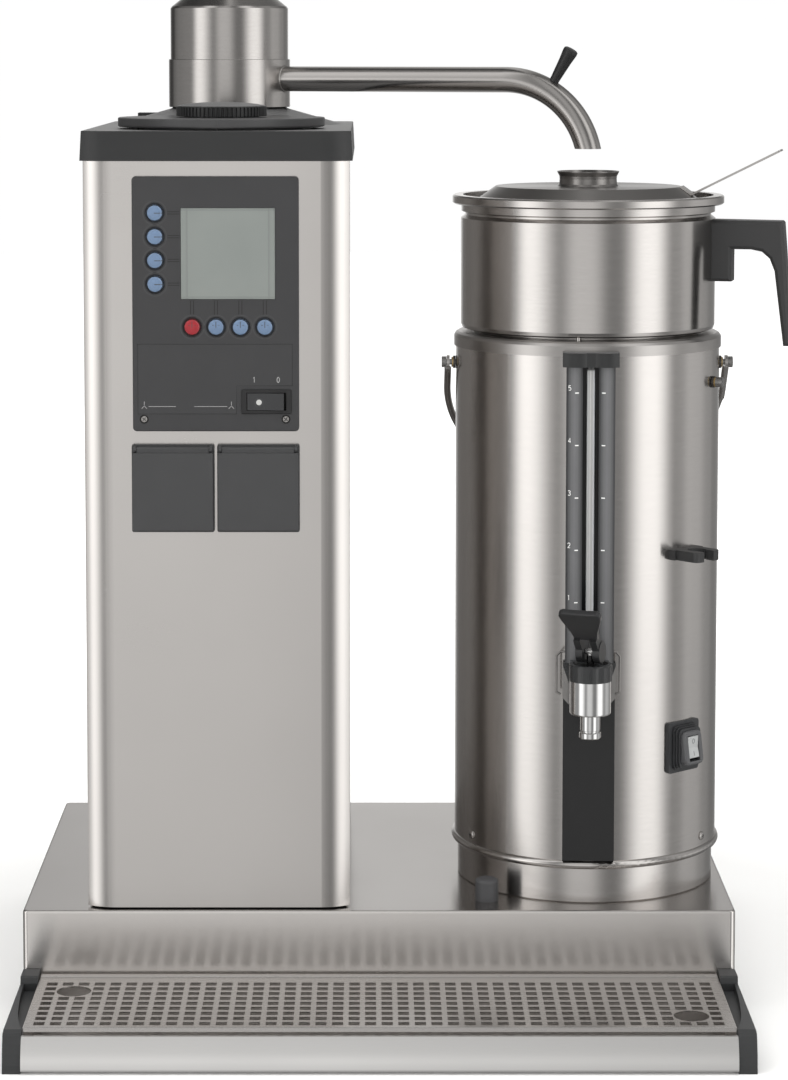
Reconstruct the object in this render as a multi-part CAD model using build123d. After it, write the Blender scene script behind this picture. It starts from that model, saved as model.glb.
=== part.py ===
from build123d import *
from math import sin, cos, tan, radians, sqrt, pi
import os

# ---------------------------------------------------------------------------
# Column filter-coffee brewer with one removable heated container.
# All sizes in mm.  Machine frame: X to the right from the middle of the base
# platform, Y from front to back, Z up from the counter.  The finished pieces
# are moved so that the middle of the whole machine's footprint is the origin.
# ---------------------------------------------------------------------------
ORIGIN_X, ORIGIN_Y = 26.0, 0.0          # footprint centre in the machine frame

# base platform (folded sheet box on four rubber feet)
PF_W, PF_Y0, PF_Y1 = 543.0, -100.0, 245.0
PF_Z0, PF_Z1, PF_T = 28.0, 80.0, 1.5
FOOT_X, FOOT_Y = 247.0, (-64.0, 210.0)
STUD_X, STUD_Y, STUD_R, STUD_H = 83.1, -69.0, 8.9, 17.0

# drip tray in front of the platform
TR_X = 258.0                                # inner faces of the end caps
TR_XO = 271.4                               # outer faces of the end caps
TR_BACK = -100.7
GR_X, GR_Y0, GR_Y1, GR_Z, GR_T = 257.0, -230.7, -104.0, 31.0, 1.2
GR_PITCH, GR_HOLE, GR_COLS, GR_ROWS = 12.0, 8.0, 42, 9
GR_MID = (-0.5, -175.0)                     # centre of the hole grid

# column
CO_X, CO_HW = -122.3, 100.0
CO_Y0, CO_Y1, CO_Z1 = -95.5, 227.0, 650.0
CO_T, CO_BEND_R, CO_BEND_A = 1.5, 36.0, 36.8
CAP_Z1 = 672.5

# round cover plate and knurled port cap on top of the column
CV_X, CV_Y, CV_R, CV_Z = -121.5, -14.0, 79.8, 681.1
PC_X, PC_Y, PC_R = -121.5, -14.0, 34.9

# swivel head and spout arm
HD_X, HD_Y = -121.8, 135.0
HD_R, HD_Z0, HD_Z1 = 49.5, 686.4, 725.2
HC_R, HC_Z1, HC_Z2, HC_RT = 48.0, 767.2, 776.0, 37.0
ARM_Z, ARM_R, ARM_RI = 709.3, 10.1, 8.7
ARM_L0, ARM_BEND, ARM_TURN = 239.4, 70.0, 76.4
ARM_AZ = -21.7                              # arm points right and this far to the front
SPOUT_Z = 655.5

# control panel on the column front
PN_X0, PN_X1, PN_Z0, PN_Z1 = -185.0, -60.2, 447.2, 638.7
PN_Y0, PN_Y1 = -99.3, -95.55
SC_X0, SC_X1, SC_Z0, SC_Z1 = -148.7, -77.8, 546.6, 615.3
BT_R, BT_HOLE, BT_STROKE = 6.15, 6.55, 1.2
BUTTONS = [(-167.8, 611.5), (-167.8, 593.7), (-167.8, 575.9), (-167.8, 558.1),
           (-140.2, 525.9), (-122.3, 525.9), (-104.0, 525.9), (-85.7, 525.9)]
SW_X0, SW_X1, SW_Z0, SW_Z1 = -103.4, -65.9, 460.5, 478.9
RK_X, RK_Y, RK_Z = -84.65, -92.0, 469.7
SCREWS = [(-176.5, 456.4), (-70.1, 456.4)]

# two sockets with hinged flaps below the panel
SK_LEFT, SK_RIGHT = -155.1, -90.9           # socket centres in X
SK_W, SK_Z0, SK_Z1 = 62.0, 370.8, 437.2
FL_Z0, FL_Z1, FL_AX_Y, FL_AX_Z = 372.3, 431.4, -101.6, 434.2

# container: its own axis
CT_X, CT_Y = 164.2, 21.0
CT_R, CT_T = 103.5, 1.2
CT_Z0, CT_ZB, CT_Z1, CT_RIM = 80.0, 110.6, 501.7, 512.8
TK_R = 89.5                                 # inner tank
FRONT_AZ = -2.4                             # gauge and tap sit this far left of dead front
TAP_Y, TAP_PIV_Z, TAP_YAW = -141.0, 283.8, -20.0
SWI_AZ, SWI_Y, SWI_Z = 42.5, -107.0, 197.6
CLIP_AZ, CLIP_Z0, CLIP_Z1 = 42.5, 344.3, 352.0
PIV_Z, STOP_AZ, STOP_Z = 487.8, 66.0, 476.4
BAIL_X, BAIL_R, BAIL_S0, BAIL_B, BAIL_REST = 109.6, 2.7, 29.0, 123.0, 44.6

# filter pan and lid
PAN_R, PAN_Z0, PAN_RIM = 99.6, 515.0, 106.3
PAN_AZ = 77.0                               # handle direction


# ---------------------------------------------------------------------------
# small helpers
# ---------------------------------------------------------------------------
def block(x0, x1, y0, y1, z0, z1):
    return Pos((x0 + x1) / 2, (y0 + y1) / 2, (z0 + z1) / 2) * Box(x1 - x0, y1 - y0, z1 - z0)


def rod(r, z0, z1, x=0.0, y=0.0):
    return Pos(x, y, (z0 + z1) / 2) * Cylinder(r, z1 - z0)


def rod_x(r, x0, x1, y, z):
    return Pos((x0 + x1) / 2, y, z) * (Rot(0, 90, 0) * Cylinder(r, x1 - x0))


def rod_y(r, y0, y1, x, z):
    return Pos(x, (y0 + y1) / 2, z) * (Rot(90, 0, 0) * Cylinder(r, y1 - y0))


def turned(points, x=0.0, y=0.0):
    """Solid of revolution of a closed (r, z) outline about a vertical axis."""
    face = make_face(Polyline(*[(r, 0, z) for r, z in points], close=True))
    return Pos(x, y, 0) * revolve(face, Axis.Z)


def slab(x0, x1, y0, y1, z0, z1, r):
    """Upright plate with rounded corners, seen from the front."""
    sk = Plane.XZ * RectangleRounded(x1 - x0, z1 - z0, r)
    return Pos((x0 + x1) / 2, y1, (z0 + z1) / 2) * extrude(sk, y1 - y0)


def prism_x(points, x0, x1):
    """Outline given as (y, z), run along X."""
    face = make_face(Polyline(*[(x0, y, z) for y, z in points], close=True))
    return extrude(face, x1 - x0, dir=(1, 0, 0))


def prism_z(points, z0, z1):
    face = make_face(Polyline(*[(x, y, z0) for x, y in points], close=True))
    return extrude(face, z1 - z0, dir=(0, 0, 1))


def bent_wire(points, r):
    """Round wire through the points, with ball corners."""
    out = None
    for a, b in zip(points[:-1], points[1:]):
        a, b = Vector(*a), Vector(*b)
        d = b - a
        seg = Plane(origin=a, z_dir=d) * Pos(0, 0, d.length / 2) * Cylinder(r, d.length)
        out = seg if out is None else out + seg
    for p in points[1:-1]:
        out = out + Pos(*p) * Sphere(r)
    return out


def group(*solids):
    return Compound(list(s for item in solids for s in item.solids()))


def at_container(shape, az=0.0):
    """From the container's own frame (front is -Y), turned to the right by az."""
    return Pos(CT_X, CT_Y, 0) * Rot(0, 0, az) * shape


parts = {}

# ---------------------------------------------------------------------------
# base platform
# ---------------------------------------------------------------------------
pf_mid = (PF_Y0 + PF_Y1) / 2
outer = extrude(Pos(0, pf_mid, PF_Z0) * RectangleRounded(PF_W, PF_Y1 - PF_Y0, 4.0), PF_Z1 - PF_Z0)
outer = fillet(outer.faces().sort_by(Axis.Z)[-1].edges(), 2.0)
shell = outer - block(-PF_W / 2 + PF_T, PF_W / 2 - PF_T, PF_Y0 + PF_T, PF_Y1 - PF_T,
                      PF_Z0 + PF_T, PF_Z1 - PF_T)
shell -= block(-226, 226, PF_Y0 + 14, PF_Y1 - 14, PF_Z0 - 1, PF_Z0 + PF_T + 1)
shell -= block(-160, -85, -70, -30, PF_Z1 - 4, PF_Z1 + 1)      # passage up into the column
shell -= rod(3.3, PF_Z1 - 4, PF_Z1 + 1, STUD_X, STUD_Y)
for sx in (-1, 1):
    for fy in FOOT_Y:
        shell -= rod(4.3, PF_Z0 - 1, PF_Z0 + PF_T + 1, sx * FOOT_X, fy)
parts["platform_shell"] = shell

feet = []
for sx in (-1, 1):
    for fy in FOOT_Y:
        feet.append(turned([(0, 0), (17.0, 0), (18.5, 1.5), (16.0, PF_Z0 - 0.02), (4.0, PF_Z0 - 0.02),
                            (4.0, PF_Z0 + PF_T + 0.3), (5.6, PF_Z0 + PF_T + 1.2),
                            (3.0, PF_Z0 + PF_T + 5.0), (0, PF_Z0 + PF_T + 5.0)], sx * FOOT_X, fy))
parts["platform_feet"] = group(*feet)

parts["locating_stud"] = turned(
    [(0, PF_Z1 - 6), (3.0, PF_Z1 - 6), (3.0, PF_Z1 + 0.02), (STUD_R, PF_Z1 + 0.02),
     (STUD_R, PF_Z1 + STUD_H - 2.2), (STUD_R - 0.6, PF_Z1 + STUD_H - 0.9),
     (STUD_R - 2.2, PF_Z1 + STUD_H), (0, PF_Z1 + STUD_H)], STUD_X, STUD_Y)

# ---------------------------------------------------------------------------
# drip tray
# ---------------------------------------------------------------------------
trough = block(-TR_X + 0.2, TR_X - 0.2, -234.0, TR_BACK - 1.2, 4.5, 29.6)
trough -= block(-TR_X + 1.4, TR_X - 1.4, -232.8, TR_BACK - 2.4, 5.7, 40)
trough -= block(-TR_X - 1, TR_X + 1, -240, -229.0, 24.0, 40)
for sx in (-1, 1):                                   # ledges under the ends of the grille
    trough += block(min(sx * 252, sx * 257.6), max(sx * 252, sx * 257.6), -229.0, TR_BACK - 2.3, 28.4, 29.6)
parts["tray_body"] = trough

ext = make_face(Polyline((0, -234.4, 26.0), (0, -237.5, 26.0)) +
                ThreePointArc((0, -237.5, 26.0), (0, -243.2, 15.5), (0, -245.0, 3.6)) +
                Polyline((0, -245.0, 3.6), (0, -244.6, 2.4), (0, -238.0, 2.4), (0, -238.0, 4.6), (0, -242.2, 4.6)) +
                ThreePointArc((0, -242.2, 4.6), (0, -240.8, 14.5), (0, -236.4, 23.4)) +
                Polyline((0, -236.4, 23.4), (0, -234.4, 23.4), (0, -234.4, 26.0)))
parts["tray_front"] = Pos(-TR_X + 0.1, 0, 0) * extrude(ext, 2 * TR_X - 0.2, dir=(1, 0, 0))

CAP_SIDE = [(-243.0, 0), (-243.0, 6), (-242.0, 14), (-240.2, 21), (-238.0, 26.4), (-236.4, 28.2), (-231.5, 29.5),
            (-120.6, 29.5), (-119.6, 33.6), (-118.2, 34.8), (TR_BACK, 34.8), (TR_BACK, 4.0), (TR_BACK - 4, 0)]
end_cap = prism_x(CAP_SIDE, TR_X, TR_XO)
rim_edges = [e for e in end_cap.edges() if abs(e.center().X - TR_XO) < 1e-3 and e.center().Z > 5]
end_cap = fillet(rim_edges, 0.8)
# hollow from below, and a stepped inner shoulder that widens to full width at the front
end_cap -= block(TR_X + 2.5, TR_X + 9.0, -206, -124, -1, 17)
shoulder = make_face(Polyline((TR_X - 1, -234.0, 23.6), (TR_X - 1, -121.2, 23.6), (268.6, -121.2, 23.6)) +
                     Spline((268.6, -121.2, 23.6), (267.9, -150, 23.6), (266.1, -180, 23.6), (262.8, -210, 23.6), (TR_X - 1, -234.0, 23.6)))
end_cap -= extrude(shoulder, 14, dir=(0, 0, 1))
parts["tray_end_caps"] = group(end_cap, mirror(end_cap, Plane.YZ))

# grille with square holes and two finger holes
gz = GR_Z - GR_T
plate = Wire.make_polygon([(-GR_X, GR_Y0, gz), (GR_X, GR_Y0, gz), (GR_X, GR_Y1, gz), (-GR_X, GR_Y1, gz)], close=True)
holes = []
gx0 = GR_MID[0] - GR_PITCH * (GR_COLS - 1) / 2
gy0 = GR_MID[1] + GR_PITCH * (GR_ROWS - 1) / 2
h = GR_HOLE / 2
skip = {(1, 1), (2, 1), (1, 2), (2, 2),
        (GR_COLS - 2, GR_ROWS - 3), (GR_COLS - 3, GR_ROWS - 3),
        (GR_COLS - 2, GR_ROWS - 2), (GR_COLS - 3, GR_ROWS - 2)}
for i in range(GR_COLS):
    for j in range(GR_ROWS):
        if (i, j) in skip:
            continue
        x, y = gx0 + i * GR_PITCH, gy0 - j * GR_PITCH
        holes.append(Wire.make_polygon([(x - h, y - h, gz), (x + h, y - h, gz), (x + h, y + h, gz), (x - h, y + h, gz)], close=True))
FINGER = [(gx0 + 1.5 * GR_PITCH, gy0 - 1.5 * GR_PITCH),
          (gx0 + (GR_COLS - 2.5) * GR_PITCH, gy0 - (GR_ROWS - 2.5) * GR_PITCH)]
for fx, fy in FINGER:
    holes.append(Wire.make_circle(12.9, Plane(origin=(fx, fy, gz))))
grille = extrude(Face(plate, holes), GR_T, dir=(0, 0, 1))
# front lip with a rounded upper edge, folded down
lip = prism_x([(GR_Y0 + 0.02, gz), (GR_Y0 + 0.02, GR_Z), (GR_Y0 - 0.5, GR_Z - 0.1), (GR_Y0 - 1.0, GR_Z - 0.5),
               (GR_Y0 - 1.3, GR_Z - 1.1), (GR_Y0 - 1.3, 27.6), (GR_Y0 - 0.1, 27.6), (GR_Y0 - 0.1, gz)], -GR_X, GR_X)
grille = grille + lip
# raised strip along the back edge
grille += prism_x([(GR_Y1 - 5.6, GR_Z - 0.3), (GR_Y1 - 4.9, GR_Z + 0.8), (GR_Y1, GR_Z + 0.8), (GR_Y1, GR_Z - 0.3)], -GR_X, GR_X)
parts["tray_grille"] = grille

# ---------------------------------------------------------------------------
# column
# ---------------------------------------------------------------------------
xl, xr = CO_X - CO_HW, CO_X + CO_HW


def column_outline(off, y_front, bend, half):
    """Front edge of the column in plan: flat, with both ends swept back in a wide bend."""
    a = radians(CO_BEND_A)
    m = a / 2
    x0, x1 = CO_X - half + bend * sin(a), CO_X + half - bend * sin(a)
    cy = y_front + bend
    r = bend - off
    left_end = (x0 - r * sin(a), cy - r * cos(a))
    left_mid = (x0 - r * sin(m), cy - r * cos(m))
    right_end = (x1 + r * sin(a), cy - r * cos(a))
    right_mid = (x1 + r * sin(m), cy - r * cos(m))
    return left_end, left_mid, (x0, cy - r), (x1, cy - r), right_mid, right_end


o = column_outline(0, CO_Y0, CO_BEND_R, CO_HW)
n = column_outline(CO_T, CO_Y0, CO_BEND_R, CO_HW)
z0 = PF_Z1 + 1.3
P3 = lambda p: (p[0], p[1], z0)
face = make_face(ThreePointArc(P3(o[0]), P3(o[1]), P3(o[2])) + Line(P3(o[2]), P3(o[3])) +
                 ThreePointArc(P3(o[3]), P3(o[4]), P3(o[5])) + Line(P3(o[5]), P3(n[5])) +
                 ThreePointArc(P3(n[5]), P3(n[4]), P3(n[3])) + Line(P3(n[3]), P3(n[2])) +
                 ThreePointArc(P3(n[2]), P3(n[1]), P3(n[0])) + Line(P3(n[0]), P3(o[0])))
front = extrude(face, CO_Z1 - z0, dir=(0, 0, 1))
front -= block(-180.5, -67, CO_Y0 - 2, CO_Y0 + 4, 480.6, 632)         # panel opening
front -= block(-103, -65.5, CO_Y0 - 2, CO_Y0 + 4, 460.6, 481)       # switch opening
for x, z in SCREWS:
    front -= rod_y(1.9, CO_Y0 - 2, CO_Y0 + 4, x, z)
for sx in (SK_LEFT, SK_RIGHT):                                       # socket openings
    front -= block(sx - 26, sx + 26, CO_Y0 - 2, CO_Y0 + 4, 376, 428)
parts["column_front"] = front

so, si = CO_HW - 1.6, CO_HW - 2.8
ys = o[0][1] + 1.9
jacket = extrude(Pos(CO_X, (ys + CO_Y1) / 2, PF_Z1 + 0.02) * Rectangle(2 * so, CO_Y1 - ys), CO_Z1 - PF_Z1 - 0.04)
jacket = fillet([e for e in jacket.edges().filter_by(Axis.Z) if e.center().Y > CO_Y1 - 1], 7.0)
hollow = extrude(Pos(CO_X, (ys - 10 + CO_Y1 - 1.2) / 2, PF_Z1 - 1) * Rectangle(2 * si, CO_Y1 - 1.2 - ys + 10), CO_Z1 - PF_Z1 + 2)
hollow = fillet([e for e in hollow.edges().filter_by(Axis.Z) if e.center().Y > CO_Y1 - 3], 5.8)
jacket -= hollow
for k in range(7):                                                    # vent slots, upper back
    jacket -= slab(CO_X - 45, CO_X + 45, CO_Y1 - 3, CO_Y1 + 2, 560 + 9 * k, 563.5 + 9 * k, 1.7)
VALVE_X, VALVE_Z, GLAND_X, GLAND_Z = -165.0, 132.0, -80.0, 122.0
jacket -= rod_y(13.0, CO_Y1 - 3, CO_Y1 + 2, VALVE_X, VALVE_Z)
jacket -= rod_y(8.3, CO_Y1 - 3, CO_Y1 + 2, GLAND_X, GLAND_Z)
parts["column_shell"] = jacket


def cap_face(grow, z, y_back):
    a = column_outline(0, CO_Y0 - 1.5 - grow, CO_BEND_R + 2 + grow, CO_HW + 2.35 + grow)
    q = lambda p: (p[0], p[1], z)
    rb = 5.0
    L, R = CO_X - CO_HW - 2.35 - grow, CO_X + CO_HW + 2.35 + grow
    B = y_back + grow
    s = rb * (1 - sin(pi / 4))
    return make_face(ThreePointArc(q(a[0]), q(a[1]), q(a[2])) + Line(q(a[2]), q(a[3])) +
                     ThreePointArc(q(a[3]), q(a[4]), q(a[5])) + Line(q(a[5]), (R, B - rb, z)) +
                     ThreePointArc((R, B - rb, z), (R - s, B - s, z), (R - rb, B, z)) +
                     Line((R - rb, B, z), (L + rb, B, z)) +
                     ThreePointArc((L + rb, B, z), (L + s, B - s, z), (L, B - rb, z)) +
                     Line((L, B - rb, z), q(a[0])))


# plastic column cap: drafted tray upside down, with a shallow cone for the swivel head
CAP_BACK = CO_Y1 + 1.3
cap = loft([cap_face(0, CO_Z1 + 0.02, CAP_BACK), cap_face(-1.15, CAP_Z1, CAP_BACK)])
cap = fillet([e for e in cap.edges() if abs(e.center().Z - CAP_Z1) < 1e-3], 0.9)
cap -= loft([cap_face(-3.2, CO_Z1 - 1, CAP_BACK), cap_face(-4.6, CAP_Z1 - 3.0, CAP_BACK)])
cone = turned([(0, CAP_Z1 - 0.6), (92.0, CAP_Z1 - 0.6), (92.0, CAP_Z1), (47.4, 685.2), (46.6, 686.0), (0, 686.0)], HD_X, HD_Y)
cone -= rod(CV_R + 1.7, CAP_Z1 + 0.02, 720, CV_X, CV_Y)
cap += cone
cap -= turned([(0, CAP_Z1 - 2.99), (62.0, CAP_Z1 - 2.99), (44.0, 683.2), (0, 683.2)], HD_X, HD_Y)
cap += rod(30.0, 683.0, 722.0, HD_X, HD_Y)                         # swivel spigot
cap += rod(11.0, 662.0, 684.0, HD_X, HD_Y)                         # hose tail below it
cap -= rod(8.0, 650.0, 730.0, HD_X, HD_Y)
cap -= rod(24.0, 690.0, 730.0, HD_X, HD_Y)
cap -= rod(70.0, CAP_Z1 - 8, CAP_Z1 + 1, CV_X, CV_Y)                # access opening
cap += block(-200.5, -181.0, 181.0, 204.0, CAP_Z1 - 0.5, 680.5)     # small vent block at the rear left
parts["column_cap"] = cap

cover = turned([(29.0, CV_Z), (29.0, 687.6), (26.0, 687.6), (26.0, 666.0), (66.5, 666.0), (66.5, 664.0), (69.5, 664.0),
                (69.5, 674.0), (CV_R - 1.2, 674.0), (CV_R - 0.3, 674.5), (CV_R, 675.4),
                (CV_R, CV_Z - 1.0), (CV_R - 0.3, CV_Z - 0.3), (CV_R - 1.0, CV_Z)], CV_X, CV_Y)
cover -= turned([(30.5, 665.0), (65.5, 665.0), (65.5, 677.6), (30.5, 677.6)], CV_X, CV_Y)
for k in range(6):                                                    # small feet round the edge
    a = radians(60 * k + 30)
    cover += rod(1.6, CAP_Z1 + 0.02, 674.3, CV_X + 72.0 * cos(a), CV_Y + 72.0 * sin(a))
cover += block(CV_X - 0.6, CV_X + 0.6, CV_Y - CV_R - 0.25, CV_Y - CV_R + 3, 675.6, CV_Z - 1.0)
parts["access_cover"] = cover

# knurled cap over the port
ribs = 64
pts = []
for k in range(ribs):
    for f, rr in ((0.0, PC_R), (0.36, PC_R), (0.5, PC_R - 1.1), (0.86, PC_R - 1.1)):
        a = 2 * pi * (k + f) / ribs
        pts.append((PC_X + rr * cos(a), PC_Y + rr * sin(a)))
pcap = prism_z(pts, 682.0, 689.0)
pcap += turned([(0, 688.9), (PC_R - 0.2, 688.9), (PC_R - 0.5, 689.7), (33.0, 690.2), (26.0, 691.4), (16.0, 692.3), (6.0, 692.7), (0, 692.7)], PC_X, PC_Y)
pcap -= rod(30.0, 681.0, 688.2, PC_X, PC_Y)
parts["port_cap"] = pcap

# --- inside the column ------------------------------------------------------
BO_X, BO_Y, BO_R = CO_X, 80.0, 76.0
boiler = turned([(0, 150), (BO_R - 8, 150), (BO_R, 158), (BO_R, 598), (BO_R + 6, 598), (BO_R + 6, 604), (0, 604),
                 (0, 600.0), (BO_R - 1.5, 600.0), (BO_R - 1.5, 158.6), (BO_R - 8.6, 151.5), (0, 151.5)], BO_X, BO_Y)
boiler += rod(9.0, 603.5, 620.0, HD_X, HD_Y)                         # outlet neck right below the swivel head
boiler -= rod(6.0, 595.0, 625.0, HD_X, HD_Y)
for sx in (-1, 1):
    boiler -= rod(4.4, 140, 156, BO_X + sx * 46, BO_Y)
boiler += turned([(63, PF_Z1 + 0.05), (72, PF_Z1 + 0.05), (72, 82), (65, 82), (65, 150.5), (63, 150.5)], BO_X, BO_Y)
parts["boiler_tank"] = boiler

heater = Pos(BO_X, BO_Y, 190) * Torus(46, 4.0)
for sx in (-1, 1):
    heater += rod(4.0, 132, 190, BO_X + sx * 46, BO_Y)
parts["heating_element"] = heater

valve = rod_y(12.6, 218, 229, VALVE_X, VALVE_Z) + rod_y(13.2, 228.5, 244.5, VALVE_X, VALVE_Z) + block(VALVE_X - 17, VALVE_X + 17, 188, 224.5, VALVE_Z - 16, VALVE_Z + 16)
valve += rod(11.0, VALVE_Z + 15, VALVE_Z + 44, VALVE_X, 204)
valve -= rod_y(8.5, 230, 250, VALVE_X, VALVE_Z)
parts["inlet_valve"] = valve

parts["riser_hose"] = rod(12.0, 606.0, 682.5, HD_X, HD_Y) - rod(11.3, 661.5, 690, HD_X, HD_Y) - rod(9.3, 600, 620.5, HD_X, HD_Y) - rod(7.0, 600, 690, HD_X, HD_Y)

board = block(-174, -71, -79.0, -77.4, 486, 628)
board += block(-150.5, -76.0, -94.4, -79.0, 545, 617)              # display module
for bx, bz in BUTTONS:
    board += block(bx - 2.6, bx + 2.6, -83.6, -79.0, bz - 2.6, bz + 2.6)
board += block(-160, -96, -77.4, -62.0, 505, 530) + block(-150, -120, -77.4, -66, 560, 600)
parts["control_board"] = board

gland = rod_y(8.0, 220, 231, GLAND_X, GLAND_Z)
gland += Pos(GLAND_X, CO_Y1 + 0.05, GLAND_Z) * (Rot(-90, 0, 0) * extrude(RegularPolygon(12.0, 6), 6))
gland += rod_y(10.0, CO_Y1 + 5, CO_Y1 + 15, GLAND_X, GLAND_Z)
gland += Pos(GLAND_X, CO_Y1 - 1.25, GLAND_Z) * (Rot(90, 0, 0) * extrude(RegularPolygon(12.0, 6), 4))
gland -= rod_y(4.5, 210, 260, GLAND_X, GLAND_Z)
parts["cable_gland"] = gland

# ---------------------------------------------------------------------------
# control panel
# ---------------------------------------------------------------------------
panel = slab(PN_X0, PN_X1, PN_Y0, PN_Y1, PN_Z0, PN_Z1, 3.0)
panel = chamfer([e for e in panel.edges() if abs(e.center().Y - PN_Y0) < 1e-3], 0.8)
panel += block(-179.8, -68.5, PN_Y1 - 0.5, -74.5, 482, 630)
panel -= block(-178.2, -70.5, PN_Y1, -70, 484, 628)
panel -= slab(SC_X0, SC_X1, -110, -90, SC_Z0, SC_Z1, 0.8)
for bx, bz in BUTTONS:
    panel -= rod_y(BT_HOLE, -110, -90, bx, bz)
    panel -= Pos(bx, PN_Y0, bz) * (Rot(-90, 0, 0) * Cone(7.8, 6.75, 0.9, align=(Align.CENTER, Align.CENTER, Align.MIN)))
for bx, bz in BUTTONS[:4]:                                            # engraved pairs of lines to the display
    for d in (-0.85, 0.85):
        panel -= block(bx + 8.6, SC_X0 - 0.4, PN_Y0 - 1, PN_Y0 + 0.35, bz + d - 0.18, bz + d + 0.18)
for bx, bz in BUTTONS[4:]:
    for d in (-1.15, 1.15):
        panel -= block(bx + d - 0.18, bx + d + 0.18, PN_Y0 - 1, PN_Y0 + 0.35, bz + 8.6, SC_Z0 - 0.4)
panel -= block(SW_X0 + 1.5, SW_X1 - 1.5, -110, -90, SW_Z0 + 1.5, SW_Z1 - 1.5)
for x, z in SCREWS:
    panel -= rod_y(1.9, -110, -90, x, z) + rod_y(3.5, -110, PN_Y0 + 1.6, x, z)
parts["control_panel"] = panel

parts["display_window"] = slab(SC_X0 + 0.25, SC_X1 - 0.25, PN_Y0 + 0.5, PN_Y1 + 0.9, SC_Z0 + 0.25, SC_Z1 - 0.25, 0.6)

for k, (bx, bz) in enumerate(BUTTONS, 1):
    prof = [(0, -101.7), (2.4, -101.55), (4.4, -101.05), (5.6, -100.3), (BT_R, -99.3), (BT_R, -95.2), (7.6, -95.2),
            (7.6, -94.2), (2.2, -94.2), (2.2, -85.4), (0, -85.4)]
    f = make_face(Polyline(*[(r, 0, -y) for r, y in prof], close=True))
    cap_b = revolve(f, Axis.Z)
    parts["button_%d" % k] = Pos(bx, 0, bz) * (Rot(90, 0, 0) * cap_b)

sw = slab(SW_X0, SW_X1, PN_Y0 - 1.3, PN_Y0 - 0.02, SW_Z0, SW_Z1, 1.0)
sw = chamfer([e for e in sw.edges() if abs(e.center().Y - (PN_Y0 - 1.3)) < 1e-3], 0.5)
sw += block(SW_X0 + 1.8, SW_X1 - 1.8, PN_Y0 - 0.5, -78, SW_Z0 + 1.8, SW_Z1 - 1.8)
sw -= block(RK_X - 14.9, RK_X + 14.9, -110, -86.0, RK_Z - 6.75, RK_Z + 6.75)
sw += rod(1.2, RK_Z - 7.0, RK_Z - 5.0, RK_X, RK_Y) + rod(1.2, RK_Z + 5.0, RK_Z + 7.0, RK_X, RK_Y)
parts["switch_frame"] = sw

rk = prism_z([(-13.9, -9.4), (-13.6, -9.9), (0, -8.7), (13.6, -9.9), (13.9, -9.4), (13.2, -3.5), (4.0, 3.2), (-4.0, 3.2), (-13.2, -3.5)], -6.35, 6.35)
rk -= rod(1.55, -8, -4.7) + rod(1.55, 4.7, 8)
rk = Pos(RK_X, RK_Y, RK_Z) * Rot(0, 0, -4.0) * rk
parts["switch_rocker"] = rk

sc = []
for x, z in SCREWS:
    s = rod_y(2.75, PN_Y0 - 0.1, PN_Y0 + 1.58, x, z) + rod_y(1.5, PN_Y0, -88, x, z)
    s = chamfer([e for e in s.edges() if abs(e.center().Y - (PN_Y0 - 0.1)) < 1e-3], 0.5)
    s -= Pos(x, PN_Y0 - 0.1, z) * (Rot(0, 45 + 8 * x / abs(x), 0) * (Box(3.6, 2.0, 0.7) + Box(0.7, 2.0, 3.6)))
    sc.append(s)
parts["panel_screws"] = group(*sc)

# ---------------------------------------------------------------------------
# sockets and flaps
# ---------------------------------------------------------------------------
for cx, side in ((SK_LEFT, "left"), (SK_RIGHT, "right")):
    w = SK_W / 2
    body = slab(cx - w, cx + w, -99.4, PN_Y1, SK_Z0, SK_Z1, 1.5)
    body += block(cx - 24.5, cx + 24.5, PN_Y1 - 0.5, -62, 377.5, 426.5)
    body -= rod_y(19.6, -110, -80, cx, 402.0)
    for d in (-9.5, 9.5):
        body -= rod_y(2.5, -81, -66, cx + d, 402.0)
    for sx in (-1, 1):                                               # hinge ears
        e0, e1 = sorted((cx + sx * 27.5, cx + sx * 29.5))
        ear = rod_x(2.4, e0, e1, FL_AX_Y, FL_AX_Z) + block(e0, e1, FL_AX_Y, -99.3, FL_AX_Z - 2.2, FL_AX_Z + 2.4)
        ear -= rod_x(1.45, cx - w - 1, cx + w + 1, FL_AX_Y, FL_AX_Z)
        body += ear
    parts["socket_" + side] = body
    flap = slab(cx - 30.5, cx + 30.5, -104.4, -100.2, FL_Z0, FL_Z1, 1.6)
    flap = chamfer([e for e in flap.edges() if abs(e.center().Y + 104.4) < 1e-3], 0.6)
    flap -= block(cx - 28.0, cx + 28.0, -102.6, -99, FL_Z0 + 2.5, FL_Z1 - 4.5)
    flap += block(cx - 27.1, cx + 27.1, -103.2, -101.0, FL_Z1 - 1.0, FL_AX_Z)
    flap += rod_x(1.8, cx - 27.1, cx + 27.1, FL_AX_Y, FL_AX_Z)
    flap += rod_x(1.15, cx - 29.3, cx + 29.3, FL_AX_Y, FL_AX_Z)
    parts["flap_" + side] = flap

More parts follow.
